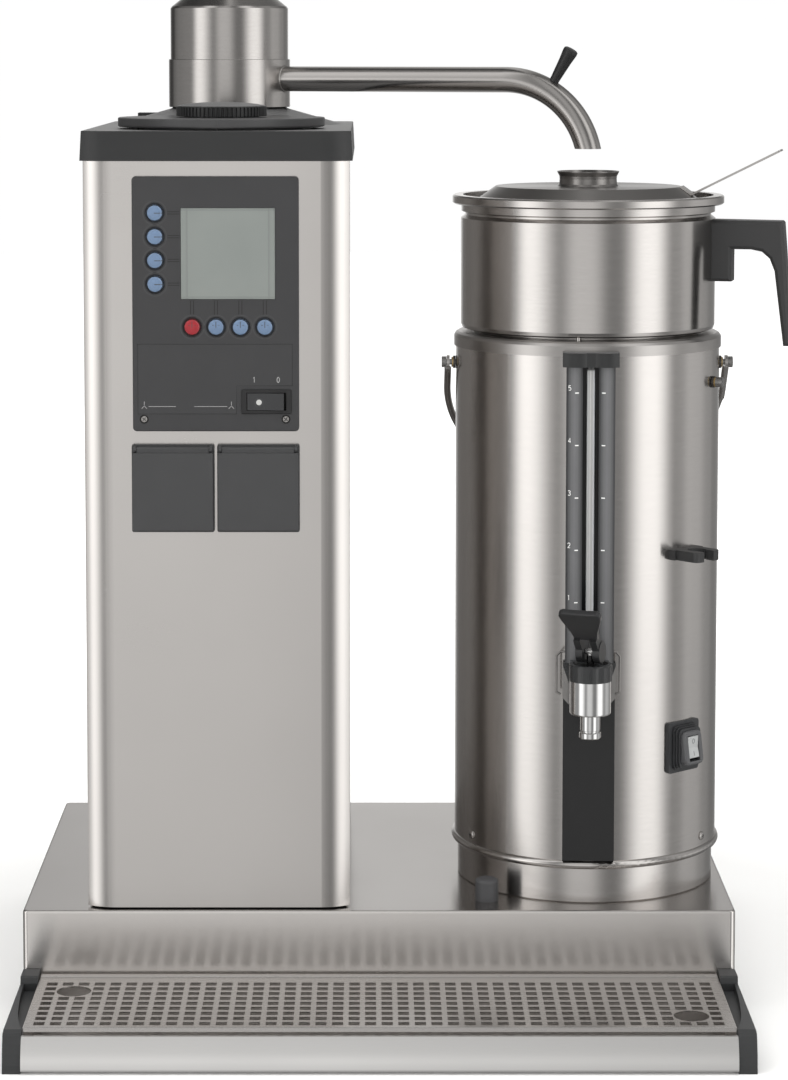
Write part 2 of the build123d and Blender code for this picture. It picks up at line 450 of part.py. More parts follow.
# ---------------------------------------------------------------------------
# swivel head and arm
# ---------------------------------------------------------------------------
collar = turned([(30.3, HD_Z0), (HD_R - 0.4, HD_Z0), (HD_R, HD_Z0 + 0.4), (HD_R, HD_Z1 - 0.3), (HD_R - 0.3, HD_Z1), (HC_R, HD_Z1),
                 (HC_R, 697.6), (30.3, 697.6)])
collar -= rod_x(ARM_R + 0.1, 30.5, 60, 0, ARM_Z)
hcap = turned([(0, HC_Z2), (HC_RT, HC_Z2), (HC_R - 1.0, HC_Z1 + 0.8), (HC_R, HC_Z1 - 0.8), (HC_R, HD_Z1 + 0.02), (HC_R - 0.3, HD_Z1 - 4.0),
               (HC_R - 1.5, HD_Z1 - 4.0), (HC_R - 1.5, HC_Z1 - 1.4), (HC_RT - 0.6, HC_Z2 - 1.5), (0, HC_Z2 - 1.5)])
run = Line((38.0, 0, ARM_Z), (ARM_L0, 0, ARM_Z))
t = radians(ARM_TURN)
mid = (ARM_L0 + ARM_BEND * sin(t / 2), 0, ARM_Z - ARM_BEND * (1 - cos(t / 2)))
end = (ARM_L0 + ARM_BEND * sin(t), 0, ARM_Z - ARM_BEND * (1 - cos(t)))
arc = ThreePointArc((ARM_L0, 0, ARM_Z), mid, end)
tail = Line(end, (end[0] + 6 * cos(t), 0, end[2] - 6 * sin(t)))
arm_path = Wire([run.edge(), arc.edge(), tail.edge()])
arm = sweep(Plane(origin=(38.0, 0, ARM_Z), z_dir=(1, 0, 0)) * Circle(ARM_R), path=arm_path)
arm -= sweep(Plane(origin=(38.0, 0, ARM_Z), z_dir=(1, 0, 0)) * Circle(ARM_RI), path=arm_path)
arm -= block(ARM_L0 + 20, ARM_L0 + 120, -40, 40, SPOUT_Z - 30, SPOUT_Z)
GB = radians(30.0)
gbase = (ARM_L0 + (ARM_BEND + ARM_R) * sin(GB), 0, ARM_Z - ARM_BEND + (ARM_BEND + ARM_R) * cos(GB))
gdir = (sin(GB), 0, cos(GB))
grip = Plane(origin=gbase, z_dir=gdir) * turned([(0, -1.2), (3.7, -1.2), (3.8, 2.0), (5.0, 18.0), (5.9, 25.5), (5.7, 27.6), (4.6, 28.4), (0, 28.6)])
grip -= sweep(Plane(origin=(38.0, 0, ARM_Z), z_dir=(1, 0, 0)) * Circle(ARM_R + 0.02), path=arm_path)
to_head = Pos(HD_X, HD_Y, 0) * Rot(0, 0, ARM_AZ)
parts["head_collar"] = to_head * collar
parts["head_cap"] = to_head * hcap
parts["arm_tube"] = to_head * arm
parts["arm_grip"] = to_head * grip

# ---------------------------------------------------------------------------
# container
# ---------------------------------------------------------------------------
Z_BAR = 248.0                                                        # tap barrel height
hull = rod(CT_R, 106.8, CT_Z1 - 0.1) - rod(CT_R - CT_T, 100, 520)
hull += Pos(0, 0, CT_ZB) * Torus(102.6, 3.4)
hull -= rod(101.2, 100, 120) - rod(0.1, 90, 91)
at_front = Rot(0, 0, FRONT_AZ)
bar_hole = at_front * rod_y(9.7, -120, -84, 0, Z_BAR)
hull -= bar_hole
hull -= Rot(0, 0, SWI_AZ) * block(-11, 11, -120, -90, SWI_Z - 15, SWI_Z + 15)
for sx in (-1, 1):
    hull -= rod_x(2.5, sx * 104.5 - 5, sx * 104.5 + 5, 0, PIV_Z)
hull -= Rot(0, 0, STOP_AZ) * rod_y(2.5, -110, -98, 0, STOP_Z)
parts["container_shell"] = at_container(hull)

base = turned([(0, 84.0), (94.0, 84.0), (98.4, CT_Z0), (99.9, CT_Z0), (100.9, CT_Z0 + 1.0), (100.9, 118.0), (98.9, 118.0), (98.9, 88.0),
               (0, 86.0)])
parts["container_base"] = at_container(base)

tank = turned([(0, 122.0), (TK_R - 6, 122.0), (TK_R, 128.0), (TK_R, 508.6), (90.6, 511.0), (92.2, CT_RIM - 1.15), (100.6, CT_RIM - 1.15),
               (102.4, 510.6), (103.6, 508.6), (103.6, CT_Z1 + 0.02), (104.8, CT_Z1 + 0.02), (104.8, 509.6), (103.6, 511.6),
               (101.6, CT_RIM), (91.8, CT_RIM), (89.6, 511.8), (TK_R - 1.0, 509.2), (TK_R - 1.0, 128.5), (TK_R - 6.5, 123.0), (0, 123.0)])
tank -= bar_hole
parts["inner_tank"] = at_container(tank)

heat = rod(78.0, 117.4, 121.9) - rod(20.0, 117, 119.5)
heat += block(-30, -22, 30, 50, 110, 117.5) + block(22, 30, 30, 50, 110, 117.5)
parts["container_heater"] = at_container(heat)

# gauge rail down the front, with a flat cover strip below
rail = block(-18.3, 18.3, -112.0, -100, 269.3, 494.8)
for sx in (-1, 1):                                                   # each side of the slot is a convex bar
    a, b = sorted((sx * 6.0, sx * 18.4))
    bar = make_face(ThreePointArc((a, -111.9, 269.3), ((a + b) / 2, -114.7, 269.3), (b, -111.9, 269.3)) +
                    Polyline((b, -111.9, 269.3), (b, -103.0, 269.3), (a, -103.0, 269.3), (a, -111.9, 269.3)))
    rail += extrude(bar, 225.5, dir=(0, 0, 1))
rail += block(-19.7, 19.7, -106.8, -100, 114.8, 269.4)
rail -= rod(CT_R + 0.05, 100, 520)
rail -= block(-6.0, 6.0, -120, -105.4, 279.0, 500)
rail -= rod_y(9.7, -120, -100, 0, Z_BAR)
rail -= rod_x(1.1, -30, 30, -110.5, 277.6)
parts["gauge_rail"] = at_container(rail, FRONT_AZ)
tube = rod(3.3, 279.2, 498.0, 0, -108.9) - rod(2.2, 270, 500, 0, -108.9)
parts["gauge_tube"] = at_container(tube, FRONT_AZ)
brk = make_face(ThreePointArc((-21.3, -114.4, 494.9), (-12.4, -117.6, 494.9), (-3.2, -115.9, 494.9)) +
                Line((-3.2, -115.9, 494.9), (3.2, -115.9, 494.9)) +
                ThreePointArc((3.2, -115.9, 494.9), (12.4, -117.6, 494.9), (21.3, -114.4, 494.9)) +
                Polyline((21.3, -114.4, 494.9), (21.3, -100, 494.9), (-21.3, -100, 494.9), (-21.3, -114.4, 494.9)))
brk = extrude(brk, 10.9, dir=(0, 0, 1))
brk = fillet([e for e in brk.edges() if abs(e.center().Z - 505.8) < 1e-3 and e.center().Y < -114], 0.8)
brk -= rod(105.0, 400, 520)
brk -= rod(3.6, 480, 498.5, 0, -108.9)
parts["gauge_bracket"] = at_container(brk, FRONT_AZ)

# tap
tb = rod(15.4, 236.4, 261.9, 0, TAP_Y) + block(-15.4, 15.4, TAP_Y, -109.0, 236.4, 261.9)
tb = fillet([e for e in tb.edges() if abs(e.center().Z - 236.4) < 1e-3 and e.center().Y < -112], 1.6)
trap = make_face(Polyline((-20.2, -106.9, 268.8), (20.2, -106.9, 268.8), (20.2, -106.9, 241.8), (15.4, -106.9, 236.6),
                          (-15.4, -106.9, 236.6), (-20.2, -106.9, 241.8), close=True))
tb += extrude(trap, 2.3, dir=(0, -1, 0))
tb += rod_y(9.4, -110, -85.5, 0, Z_BAR)
tb += turned([(0, 218.0), (7.6, 218.0), (8.2, 218.6), (8.2, 222.3), (7.7, 222.8), (7.0, 223.0), (7.0, 223.9), (7.5, 224.3), (7.5, 236.6), (0, 236.6)], 0, TAP_Y)
tb -= rod_y(6.0, TAP_Y, -84, 0, Z_BAR)
tb -= rod(5.0, 210, 240.0, 0, TAP_Y) + rod(6.3, 236.4, 255.4, 0, TAP_Y)
tb -= rod(3.2, 250, 262, 0, TAP_Y)
parts["tap_body"] = at_container(tb, FRONT_AZ)

fl = 22
ring = [((16.4 - 0.35 * (k % 2)) * cos(pi * (k + 0.5) / fl), (16.4 - 0.35 * (k % 2)) * sin(pi * (k + 0.5) / fl)) for k in range(2 * fl)]
bon = prism_z(ring, 262.0, 273.6) + turned([(0, 273.5), (15.9, 273.5), (15.6, 274.6), (14.4, 274.8), (0, 274.8)])
bon -= turned([(0, 273.0), (12.6, 273.0), (13.6, 275.5), (0, 275.5)]) + rod(3.2, 255.0, 280.0)
bon = Pos(0, TAP_Y, 0) * bon
back = make_face(Polyline((-20.0, -109.3, 269.1), (20.0, -109.3, 269.1), (20.0, -109.3, 266.8), (15.0, -109.3, 252.4), (15.0, -109.3, 262.0),
                          (-15.0, -109.3, 262.0), (-15.0, -109.3, 252.4), (-20.0, -109.3, 266.8), close=True))
wings = extrude(back, 3.2, dir=(0, -1, 0)) - block(-15.45, 15.45, -115, -105, 230, 261.95)
bon += wings + block(-14.5, 14.5, -132.0, -115.2, 262.0, 272.0) + block(-14.5, 14.5, -115.3, -109.3, 262.0, 269.1)
parts["tap_bonnet"] = at_container(bon, FRONT_AZ)

LEAN = 39.0
half_pad = [(8.8, 13.5), (9.4, 18.0), (10.9, 24.0), (13.4, 30.5), (15.6, 36.5), (16.4, 40.6), (15.7, 43.2), (13.2, 44.6), (6.0, 44.2)]
pad = make_face(Polyline(*[(x, 0, z) for x, z in half_pad], *[(-x, 0, z) for x, z in reversed(half_pad)], close=True))
lev = Pos(0, 2.6, 0) * extrude(pad, 5.2, dir=(0, -1, 0))
lev = fillet([e for e in lev.edges() if abs(abs(e.center().Y) - 2.6) < 1e-3 and e.center().Z > 14], 1.2)
for sx in (-1, 1):
    a, b = sorted((sx * 3.9, sx * 8.9))
    lev += block(a, b, -5.0, 4.6, 0, 17.0)
lev = Rot(LEAN, 0, 0) * lev
for sx in (-1, 1):
    a, b = sorted((sx * 3.9, sx * 9.4))
    lev += rod_x(8.4, a, b, 0, 0)
lev -= rod_x(2.4, -3.9 - 1.0, 3.9 + 1.0, 0, 0)
lev -= block(-3.9, 3.9, -12, 12, -9, 12.4)
lever_to_tap = Pos(0, TAP_Y, TAP_PIV_Z) * Rot(0, 0, TAP_YAW)
parts["tap_lever"] = at_container(lever_to_tap * lev, FRONT_AZ)

stem = rod(2.8, 240, TAP_PIV_Z - 1.2) + rod(5.9, 236.6, 241.6) + rod_x(2.1, -3.5, 3.5, 0, TAP_PIV_Z)
parts["tap_stem"] = at_container(Pos(0, TAP_Y, 0) * Rot(0, 0, TAP_YAW) * stem, FRONT_AZ)

clip_pts = [(-21.6, -110.5, 244.8), (-24.9, -110.5, 246.6), (-24.9, -110.5, 274.4), (-22.0, -110.5, 277.6), (20.2, -110.5, 277.6),
            (23.1, -110.5, 274.4), (23.1, -110.5, 246.6), (19.8, -110.5, 244.8)]
parts["tap_clip"] = at_container(bent_wire(clip_pts, 0.8), FRONT_AZ)

# cord clip on the side
cc = block(-13.6, 13.6, -129.0, -100, CLIP_Z0, CLIP_Z1)
cc = fillet([e for e in cc.edges().filter_by(Axis.Z) if e.center().Y < -120], 4.0)
cc += block(-16.2, 16.2, -108.5, -98, CLIP_Z0, CLIP_Z1)
cc -= rod(CT_R + 0.05, 300, 400)
cc -= block(-5.4, 5.4, -140, -118, 300, 400)
cc -= rod(7.2, 300, 400, 0, -117.0)
parts["cord_clip"] = at_container(cc, CLIP_AZ)

# container rocker switch
boot = slab(-17.2, 17.2, -105.0, -98.0, SWI_Z - 19.7, SWI_Z + 19.7, 2.5)
boot -= rod(CT_R + 0.05, 100, 300)
for hw, hh, y0, y1 in ((12.4, 16.2, -106.3, -104.6), (13.3, 17.0, -107.3, -106.1), (11.8, 15.4, -108.5, -107.2),
                       (12.6, 16.1, -109.5, -108.4), (11.0, 14.6, -110.7, -109.4), (11.8, 15.2, -111.6, -110.6),
                       (10.0, 13.0, -113.2, -111.5)):
    boot += slab(-hw, hw, y0, y1, SWI_Z - hh, SWI_Z + hh, 4.0)
SWI_TILT = 5.0
lid_frame = slab(-10.3, 10.3, -2.9, 0.6, -12.8, 12.8, 4.4)
lid_frame = chamfer([e for e in lid_frame.edges() if abs(e.center().Y + 2.9) < 1e-3], 0.9)
boot += Pos(0, -112.9, SWI_Z) * Rot(-8, 0, 0) * lid_frame
boot += block(-10.4, 10.4, -104.5, -93.0, SWI_Z - 14.4, SWI_Z + 14.4)
boot -= block(-6.0, 6.0, -122, -94.5, SWI_Z - 9.7, SWI_Z + 9.7)
for sx in (-1, 1):                                                     # pivot stubs for the rocker
    a, b = sorted((sx * 4.0, sx * 6.4))
    boot += rod_x(1.2, a, b, SWI_Y, SWI_Z)
parts["urn_switch_boot"] = at_container(boot, SWI_AZ)

rocker = prism_x([(7.4, 0.0), (4.6, -7.4), (-7.6, -8.5), (-8.6, -8.0), (-7.6, 0.0), (-8.6, 8.0), (-7.6, 8.5), (4.6, 7.4)], -5.6, 5.6)
rocker -= rod_x(1.55, -7.5, -3.7, 0, 0) + rod_x(1.55, 3.7, 7.5, 0, 0)
parts["urn_switch_rocker"] = at_container(Pos(0, SWI_Y, SWI_Z) * Rot(-SWI_TILT, 0, 0) * rocker, SWI_AZ)

# carrying bail, hanging behind the container
left = Line((-BAIL_X, 0, -7.5), (-BAIL_X, 0, -BAIL_S0))
right = Line((BAIL_X, 0, -BAIL_S0), (BAIL_X, 0, -7.5))
N = 24
sp = []
for k in range(N + 1):
    a = pi * k / N
    sp.append((-BAIL_X * cos(a), 0, -BAIL_S0 - BAIL_B * sin(a)))
curve = Spline(*sp, tangents=((0, 0, -1), (0, 0, 1)))
bail_path = Wire([left.edge(), curve.edge(), right.edge()])
bail = sweep(Plane(origin=(-BAIL_X, 0, -7.5), z_dir=(0, 0, -1)) * Circle(BAIL_R), path=bail_path)
for sx in (-1, 1):
    a, b = sorted((sx * 108.4, sx * 110.7))
    bail += rod_x(5.4, a, b, 0, 0) + block(a, b, -3.4, 3.4, -9.5, 0)
    bail -= rod_x(2.55, sx * 109.6 - 4, sx * 109.6 + 4, 0, 0)
parts["bail"] = at_container(Pos(0, 0, PIV_Z) * Rot(BAIL_REST, 0, 0) * bail)

bolts = []
for sx in (-1, 1):
    f = lambda r, a, b: rod_x(r, min(sx * a, sx * b), max(sx * a, sx * b), 0, PIV_Z)
    bo = f(2.25, 100.5, 111.5) + f(4.4, 111.0, 114.6) + f(5.0, 103.7, 105.7) + f(4.0, 105.6, 106.9)
    bo += f(4.6, 99.3, 101.6)
    bolts.append(bo)
st = rod_y(2.25, -108, -99.0, 0, STOP_Z) + rod_y(4.5, -105.6, -103.7, 0, STOP_Z) + rod_y(3.9, -111.8, -105.5, 0, STOP_Z)
st += rod_y(4.6, -101.6, -99.3, 0, STOP_Z)
bolts.append(Rot(0, 0, STOP_AZ) * st)
parts["side_bolts"] = at_container(group(*bolts))

# ---------------------------------------------------------------------------
# filter pan and lid
# ---------------------------------------------------------------------------
pan = turned([(4.0, 508.0), (9.0, 508.0), (9.0, PAN_Z0), (84.6, PAN_Z0), (84.6, 506.0), (86.0, 505.6), (86.0, PAN_Z0), (95.6, PAN_Z0),
              (98.6, 516.2), (PAN_R, 519.0), (PAN_R, 602.0), (96.2, 604.6), (96.2, 606.0), (99.3, 607.2), (99.3, 612.9),
              (104.9, 612.9), (PAN_RIM, 614.0), (PAN_RIM, 618.8), (105.2, 619.9), (98.1, 619.9), (98.1, 608.2), (95.0, 606.9), (95.0, 604.0),
              (98.4, 601.4), (98.4, 519.4), (95.2, 516.2), (4.0, 516.2)])
for a in (-8, 112, 232):                                              # three small standoffs
    pan += Rot(0, 0, a) * rod(1.7, CT_RIM + 0.03, PAN_Z0 + 0.5, 0, -94.8)
parts["filter_pan"] = at_container(pan)

hp = [(-98.0, 601.5), (-153.6, 600.9), (-161.2, 504.4), (-154.7, 504.4), (-147.4, 562.5), (-143.6, 572.0), (-137.6, 577.3), (-129.0, 579.0),
      (-114.2, 579.0), (-114.2, 553.8), (-98.0, 553.8)]
handle = prism_x(hp, -12.5, 12.5)
handle = chamfer([e for e in handle.edges() if abs(abs(e.center().X) - 12.5) < 1e-3 and e.center().Y < -100], 2.5)
handle -= Pos(0, -154.4, 603.0) * (Rot(45, 0, 0) * Box(40, 6.0, 6.0))
handle -= Pos(0, -163.5, 502.6) * (Rot(45, 0, 0) * Box(40, 6.0, 6.0))
handle -= Pos(0, -152.6, 502.6) * (Rot(45, 0, 0) * Box(40, 4.0, 4.0))
handle -= rod(PAN_R + 0.05, 540, 610)
parts["pan_handle"] = at_container(handle, PAN_AZ)

lid = turned([(22.9, 638.2), (24.3, 638.2), (24.2, 637.4), (22.6, 634.4), (22.4, 632.2), (22.7, 628.2), (24.0, 626.7), (25.6, 626.5), (72.6, 626.5),
              (97.0, 609.2), (97.0, 608.1), (96.2, 608.1), (72.3, 625.4), (24.6, 625.4), (22.2, 626.3), (21.4, 628.4), (21.3, 634.6)])
parts["pan_lid"] = at_container(lid)

strip = prism_x([(-73.3, 626.05), (-81.9, 619.95), (-151.7, 655.1), (-151.0, 656.4), (-82.1, 621.6), (-74.1, 627.3)], -8.0, 8.0)
strip = fillet([e for e in strip.edges() if abs(e.center().Y + 151.35) < 0.4 and abs(abs(e.center().X) - 8) < 1e-3], 3.0)
parts["lid_handle"] = at_container(strip, PAN_AZ)

# ---------------------------------------------------------------------------
# write the pieces
# ---------------------------------------------------------------------------
shift = Pos(-ORIGIN_X, -ORIGIN_Y, 0)
os.makedirs("parts", exist_ok=True)
final = {name: shift * shape for name, shape in parts.items()}
for name, shape in final.items():
    export_step(shape, "parts/%s.step" % name)

boxes = [shape.bounding_box() for shape in final.values()]
print("nodes", len(final))
print("low", [round(min(tuple(b.min)[k] for b in boxes), 3) for k in range(3)],
      "high", [round(max(tuple(b.max)[k] for b in boxes), 3) for k in range(3)])
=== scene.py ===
import bpy, bmesh, math
from mathutils import Vector, Matrix
from math import sin, cos, radians, pi, atan2, sqrt


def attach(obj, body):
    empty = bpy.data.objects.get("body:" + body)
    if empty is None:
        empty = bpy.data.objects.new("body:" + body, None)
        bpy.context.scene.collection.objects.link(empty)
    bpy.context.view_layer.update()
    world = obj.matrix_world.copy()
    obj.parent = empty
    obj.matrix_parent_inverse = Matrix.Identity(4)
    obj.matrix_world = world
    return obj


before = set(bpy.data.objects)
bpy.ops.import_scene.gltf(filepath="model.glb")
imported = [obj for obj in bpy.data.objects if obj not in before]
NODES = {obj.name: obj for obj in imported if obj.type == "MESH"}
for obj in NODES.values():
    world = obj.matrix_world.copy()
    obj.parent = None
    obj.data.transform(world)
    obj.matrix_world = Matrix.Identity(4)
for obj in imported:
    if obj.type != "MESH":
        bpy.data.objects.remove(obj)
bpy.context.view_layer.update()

scene = bpy.context.scene
scene.view_settings.view_transform = "Standard"
scene.view_settings.look = "None"

# ---------------------------------------------------------------------------
# places on the object, in metres, in the row frame
# ---------------------------------------------------------------------------
OX = 26.0                                    # row frame = machine frame - OX in x


def P(x, y, z):
    return Vector(((x - OX) / 1000, y / 1000, z / 1000))


CT = (164.2, 21.0)                           # container axis
FRONT_AZ = -2.4


def C(x, y, z, az=0.0):
    a = radians(az)
    return P(CT[0] + x * cos(a) - y * sin(a), CT[1] + x * sin(a) + y * cos(a), z)


def tag(name):
    return name


# ---------------------------------------------------------------------------
# node material helpers
# ---------------------------------------------------------------------------
class Mat:
    def __init__(self, name):
        self.m = bpy.data.materials.new(name)
        self.m.use_nodes = True
        self.t = self.m.node_tree
        self.t.nodes.clear()
        self.out = self.t.nodes.new("ShaderNodeOutputMaterial")
        self.b = self.t.nodes.new("ShaderNodeBsdfPrincipled")
        self.t.links.new(self.b.outputs[0], self.out.inputs[0])
        self.co = self.t.nodes.new("ShaderNodeTexCoord").outputs["Object"]

    def new(self, kind, **kw):
        n = self.t.nodes.new(kind)
        for k, v in kw.items():
            setattr(n, k, v)
        return n

    def link(self, a, b):
        self.t.links.new(a, b)
        return b

    def put(self, socket, v):
        if hasattr(v, "is_output") or isinstance(v, bpy.types.NodeSocket):
            self.t.links.new(v, socket)
        else:
            socket.default_value = v

    def math(self, op, a, b=0.0, c=0.0, clamp=False):
        n = self.new("ShaderNodeMath", operation=op, use_clamp=clamp)
        self.put(n.inputs[0], a)
        self.put(n.inputs[1], b)
        self.put(n.inputs[2], c)
        return n.outputs[0]

    def sep(self, v=None):
        n = self.new("ShaderNodeSeparateXYZ")
        self.put(n.inputs[0], v if v is not None else self.co)
        return n.outputs[0], n.outputs[1], n.outputs[2]

    def comb(self, x, y, z):
        n = self.new("ShaderNodeCombineXYZ")
        for k, v in enumerate((x, y, z)):
            self.put(n.inputs[k], v)
        return n.outputs[0]

    def noise(self, vec, scale, detail=4.0, rough=0.6, dist=0.0):
        n = self.new("ShaderNodeTexNoise")
        self.put(n.inputs["Vector"], vec)
        n.inputs["Scale"].default_value = scale
        n.inputs["Detail"].default_value = detail
        n.inputs["Roughness"].default_value = rough
        n.inputs["Distortion"].default_value = dist
        return n.outputs["Fac"]

    def stretch(self, sx, sy, sz, vec=None):
        n = self.new("ShaderNodeMapping")
        self.put(n.inputs[0], vec if vec is not None else self.co)
        n.inputs["Scale"].default_value = (sx, sy, sz)
        return n.outputs[0]

    def ramp(self, fac, stops, interp="LINEAR"):
        n = self.new("ShaderNodeValToRGB")
        self.put(n.inputs[0], fac)
        n.color_ramp.interpolation = interp
        els = n.color_ramp.elements
        while len(els) > 1:
            els.remove(els[-1])
        els[0].position = stops[0][0]
        els[0].color = col(stops[0][1])
        for p, c in stops[1:]:
            e = els.new(p)
            e.color = col(c)
        return n.outputs[0]

    def mix(self, f, a, b):
        n = self.new("ShaderNodeMix", data_type="RGBA")
        self.put(n.inputs[0], f)
        self.put(n.inputs[6], col(a) if not isinstance(a, bpy.types.NodeSocket) else a)
        self.put(n.inputs[7], col(b) if not isinstance(b, bpy.types.NodeSocket) else b)
        return n.outputs[2]

    def range(self, v, a, b, c, d):
        n = self.new("ShaderNodeMapRange")
        self.put(n.inputs[0], v)
        n.inputs[1].default_value, n.inputs[2].default_value = a, b
        n.inputs[3].default_value, n.inputs[4].default_value = c, d
        return n.outputs[0]

    def bump(self, height, strength, distance, normal=None):
        n = self.new("ShaderNodeBump")
        self.put(n.inputs["Height"], height)
        n.inputs["Strength"].default_value = strength
        n.inputs["Distance"].default_value = distance
        if normal is not None:
            self.put(n.inputs["Normal"], normal)
        return n.outputs[0]

    def set(self, **kw):
        names = {"color": "Base Color", "metal": "Metallic", "rough": "Roughness", "ior": "IOR", "normal": "Normal",
                 "aniso": "Anisotropic", "aniso_rot": "Anisotropic Rotation", "tangent": "Tangent", "coat": "Coat Weight",
                 "coat_rough": "Coat Roughness", "trans": "Transmission Weight", "spec": "Specular IOR Level",
                 "alpha": "Alpha", "sheen": "Sheen Weight", "emit": "Emission Color", "emit_k": "Emission Strength"}
        for k, v in kw.items():
            s = self.b.inputs[names[k]]
            if k in ("color", "emit") and not isinstance(v, bpy.types.NodeSocket):
                v = col(v)
            self.put(s, v)
        return self


def col(c):
    if isinstance(c, (int, float)):
        return (c, c, c, 1.0)
    return (c[0], c[1], c[2], 1.0) if len(c) == 3 else c


def cyl_vec(m, cx, cy, along, across):
    """Coordinates that run round a vertical axis: brushing lines that go round a drum."""
    x, y, z = m.sep()
    dx = m.math("SUBTRACT", x, cx)
    dy = m.math("SUBTRACT", y, cy)
    ang = m.math("ARCTAN2", dy, dx)
    r = m.math("SQRT", m.math("ADD", m.math("MULTIPLY", dx, dx), m.math("MULTIPLY", dy, dy)))
    return m.comb(m.math("MULTIPLY", ang, along), m.math("MULTIPLY", r, across), m.math("MULTIPLY", z, across)), ang, r, z


# brushed stainless steel.  grain: "x", "y", "z" line direction, or ("round", cx, cy)
TINT = (1.0, 0.962, 0.932)


def steel(name, grain, base=0.60, tint=TINT, rough=0.20, aniso=0.60, bump=0.03, var=0.035, bow=None, smudge=0.02, length=1.0, front=None, left_metal=None):
    m = Mat(name)
    if isinstance(grain, tuple):
        vec, ang, r, z = cyl_vec(m, grain[1], grain[2], 14.0 / length, 2400.0)
        vec2 = m.comb(m.math("MULTIPLY", ang, 4.0 / length), m.math("MULTIPLY", r, 620.0), m.math("MULTIPLY", z, 620.0))
        tan = m.new("ShaderNodeTangent", direction_type="RADIAL", axis="Z").outputs[0]
    else:
        lo_, hi_ = 130.0 / length, 2400.0
        s = {"x": (lo_, hi_, hi_), "y": (hi_, lo_, hi_), "z": (hi_, hi_, lo_)}[grain]
        vec = m.stretch(*s)
        vec2 = m.stretch(*[v * 0.26 for v in s])
        d = {"x": (1, 0, 0), "y": (0, 1, 0), "z": (0, 0, 1)}[grain]
        tan = m.comb(*d)
    fine = m.noise(vec, 1.0, 2.0, 0.6)
    wide = m.noise(vec2, 1.0, 2.0, 0.55)
    cloud = m.noise(m.co, 9.0, 3.0, 0.55)
    lines = m.math("ADD", m.math("MULTIPLY", fine, 0.65), m.math("MULTIPLY", wide, 0.35))
    lo = [base * t * (1 - var) for t in tint]
    hi = [min(1.0, base * t * (1 + var)) for t in tint]
    c = m.ramp(lines, [(0.30, lo), (0.70, hi)])
    # faces turned to the front get their own brighter base: painted light, a lit copy of the same steel
    if front:
        ny = m.sep(m.new("ShaderNodeNewGeometry").outputs["Normal"])[1]
        lo2, hi2 = [[min(1.0, front * t * (1 + e)) for t in tint] for e in (-var, var)]
        c = m.mix(m.math("LESS_THAN", ny, -0.6), c, m.ramp(lines, [(0.30, lo2), (0.70, hi2)]))
    rr = m.math("ADD", m.range(lines, 0.3, 0.7, rough - 0.02, rough + 0.02), m.range(cloud, 0.3, 0.7, -smudge, smudge))
    n = m.bump(lines, bump, 0.00012)
    if bow:
        n = m.bump(bow(m), 1.0, 1.0, n)
    metal = 1.0
    # faces turned to the left are made partly non-metallic so they show a lighter diffuse grey: painted light on that
    # side
    if left_metal:
        nx = m.sep(m.new("ShaderNodeNewGeometry").outputs["Normal"])[0]
        metal = m.range(nx, -0.9, -0.6, left_metal, 1.0)
    m.set(color=c, metal=metal, rough=rr, normal=n, aniso=aniso, tangent=tan, aniso_rot=0.25)
    return m.m


def plastic(name, base, rough=0.42, grain=2600.0, depth=0.16, spec=0.5, var=0.10, wear=0.0, coat=0.0):
    """Moulded plastic with a fine spark-eroded texture."""
    m = Mat(name)
    g = m.noise(m.co, grain, 3.0, 0.6)
    big = m.noise(m.co, 55.0, 4.0, 0.6)
    cloud = m.noise(m.co, 7.0, 3.0, 0.5)
    mixv = m.math("ADD", m.math("MULTIPLY", g, 0.35), m.math("ADD", m.math("MULTIPLY", big, 0.35), m.math("MULTIPLY", cloud, 0.30)))
    lo = [v * (1 - var) for v in base]
    hi = [v * (1 + var) for v in base]
    c = m.ramp(mixv, [(0.32, lo), (0.68, hi)])
    rr = m.range(mixv, 0.3, 0.7, rough - 0.05, rough + 0.05)
    if wear:
        geo = m.new("ShaderNodeNewGeometry")
        edge = m.range(geo.outputs["Pointiness"], 0.50, 0.56, 0.0, wear)
        c = m.mix(edge, c, [min(1, v * 2.2 + 0.03) for v in base])
    n = m.bump(g, depth, 0.00012)
    m.set(color=c, rough=rr, normal=n, spec=spec, coat=coat)
    return m.m


# ---------------------------------------------------------------------------
# camera
# ---------------------------------------------------------------------------
cam_data = bpy.data.cameras.new("camera")
cam = bpy.data.objects.new("camera", cam_data)
scene.collection.objects.link(cam)
scene.camera = cam
F_PX, PITCH = 3127.0, 5.004
cam_data.sensor_fit = "AUTO"
cam_data.sensor_width = 36.0
cam_data.lens = F_PX * 36.0 / 1080.0
cam_data.shift_x = 0.0230
cam_data.shift_y = -0.20
cam_data.clip_start, cam_data.clip_end = 0.05, 60.0
cam.location = P(-7.58, -2432.5, 732.5)
cam.rotation_euler = (radians(90 - PITCH), 0, 0)

# ---------------------------------------------------------------------------
# stage: floor, backdrop, lights
# ---------------------------------------------------------------------------


def stage_material(name, color, rough, emit=0.0):
    m = Mat(name)
    c = m.ramp(m.noise(m.co, 3.0, 4.0, 0.5), [(0.3, [v * 0.985 for v in color]), (0.7, color)])
    m.set(color=c, rough=rough, spec=0.2)
    if emit:
        m.set(emit=[1.0, 1.0, 1.0], emit_k=emit)
    return m.m


def mesh_object(name, verts, faces, mat, smooth=False):
    me = bpy.data.meshes.new(name)
    me.from_pydata([tuple(v) for v in verts], [], faces)
    me.validate()
    me.update()
    if smooth:
        for p in me.polygons:
            p.use_smooth = True
    o = bpy.data.objects.new(name, me)
    scene.collection.objects.link(o)
    me.materials.append(mat)
    return o


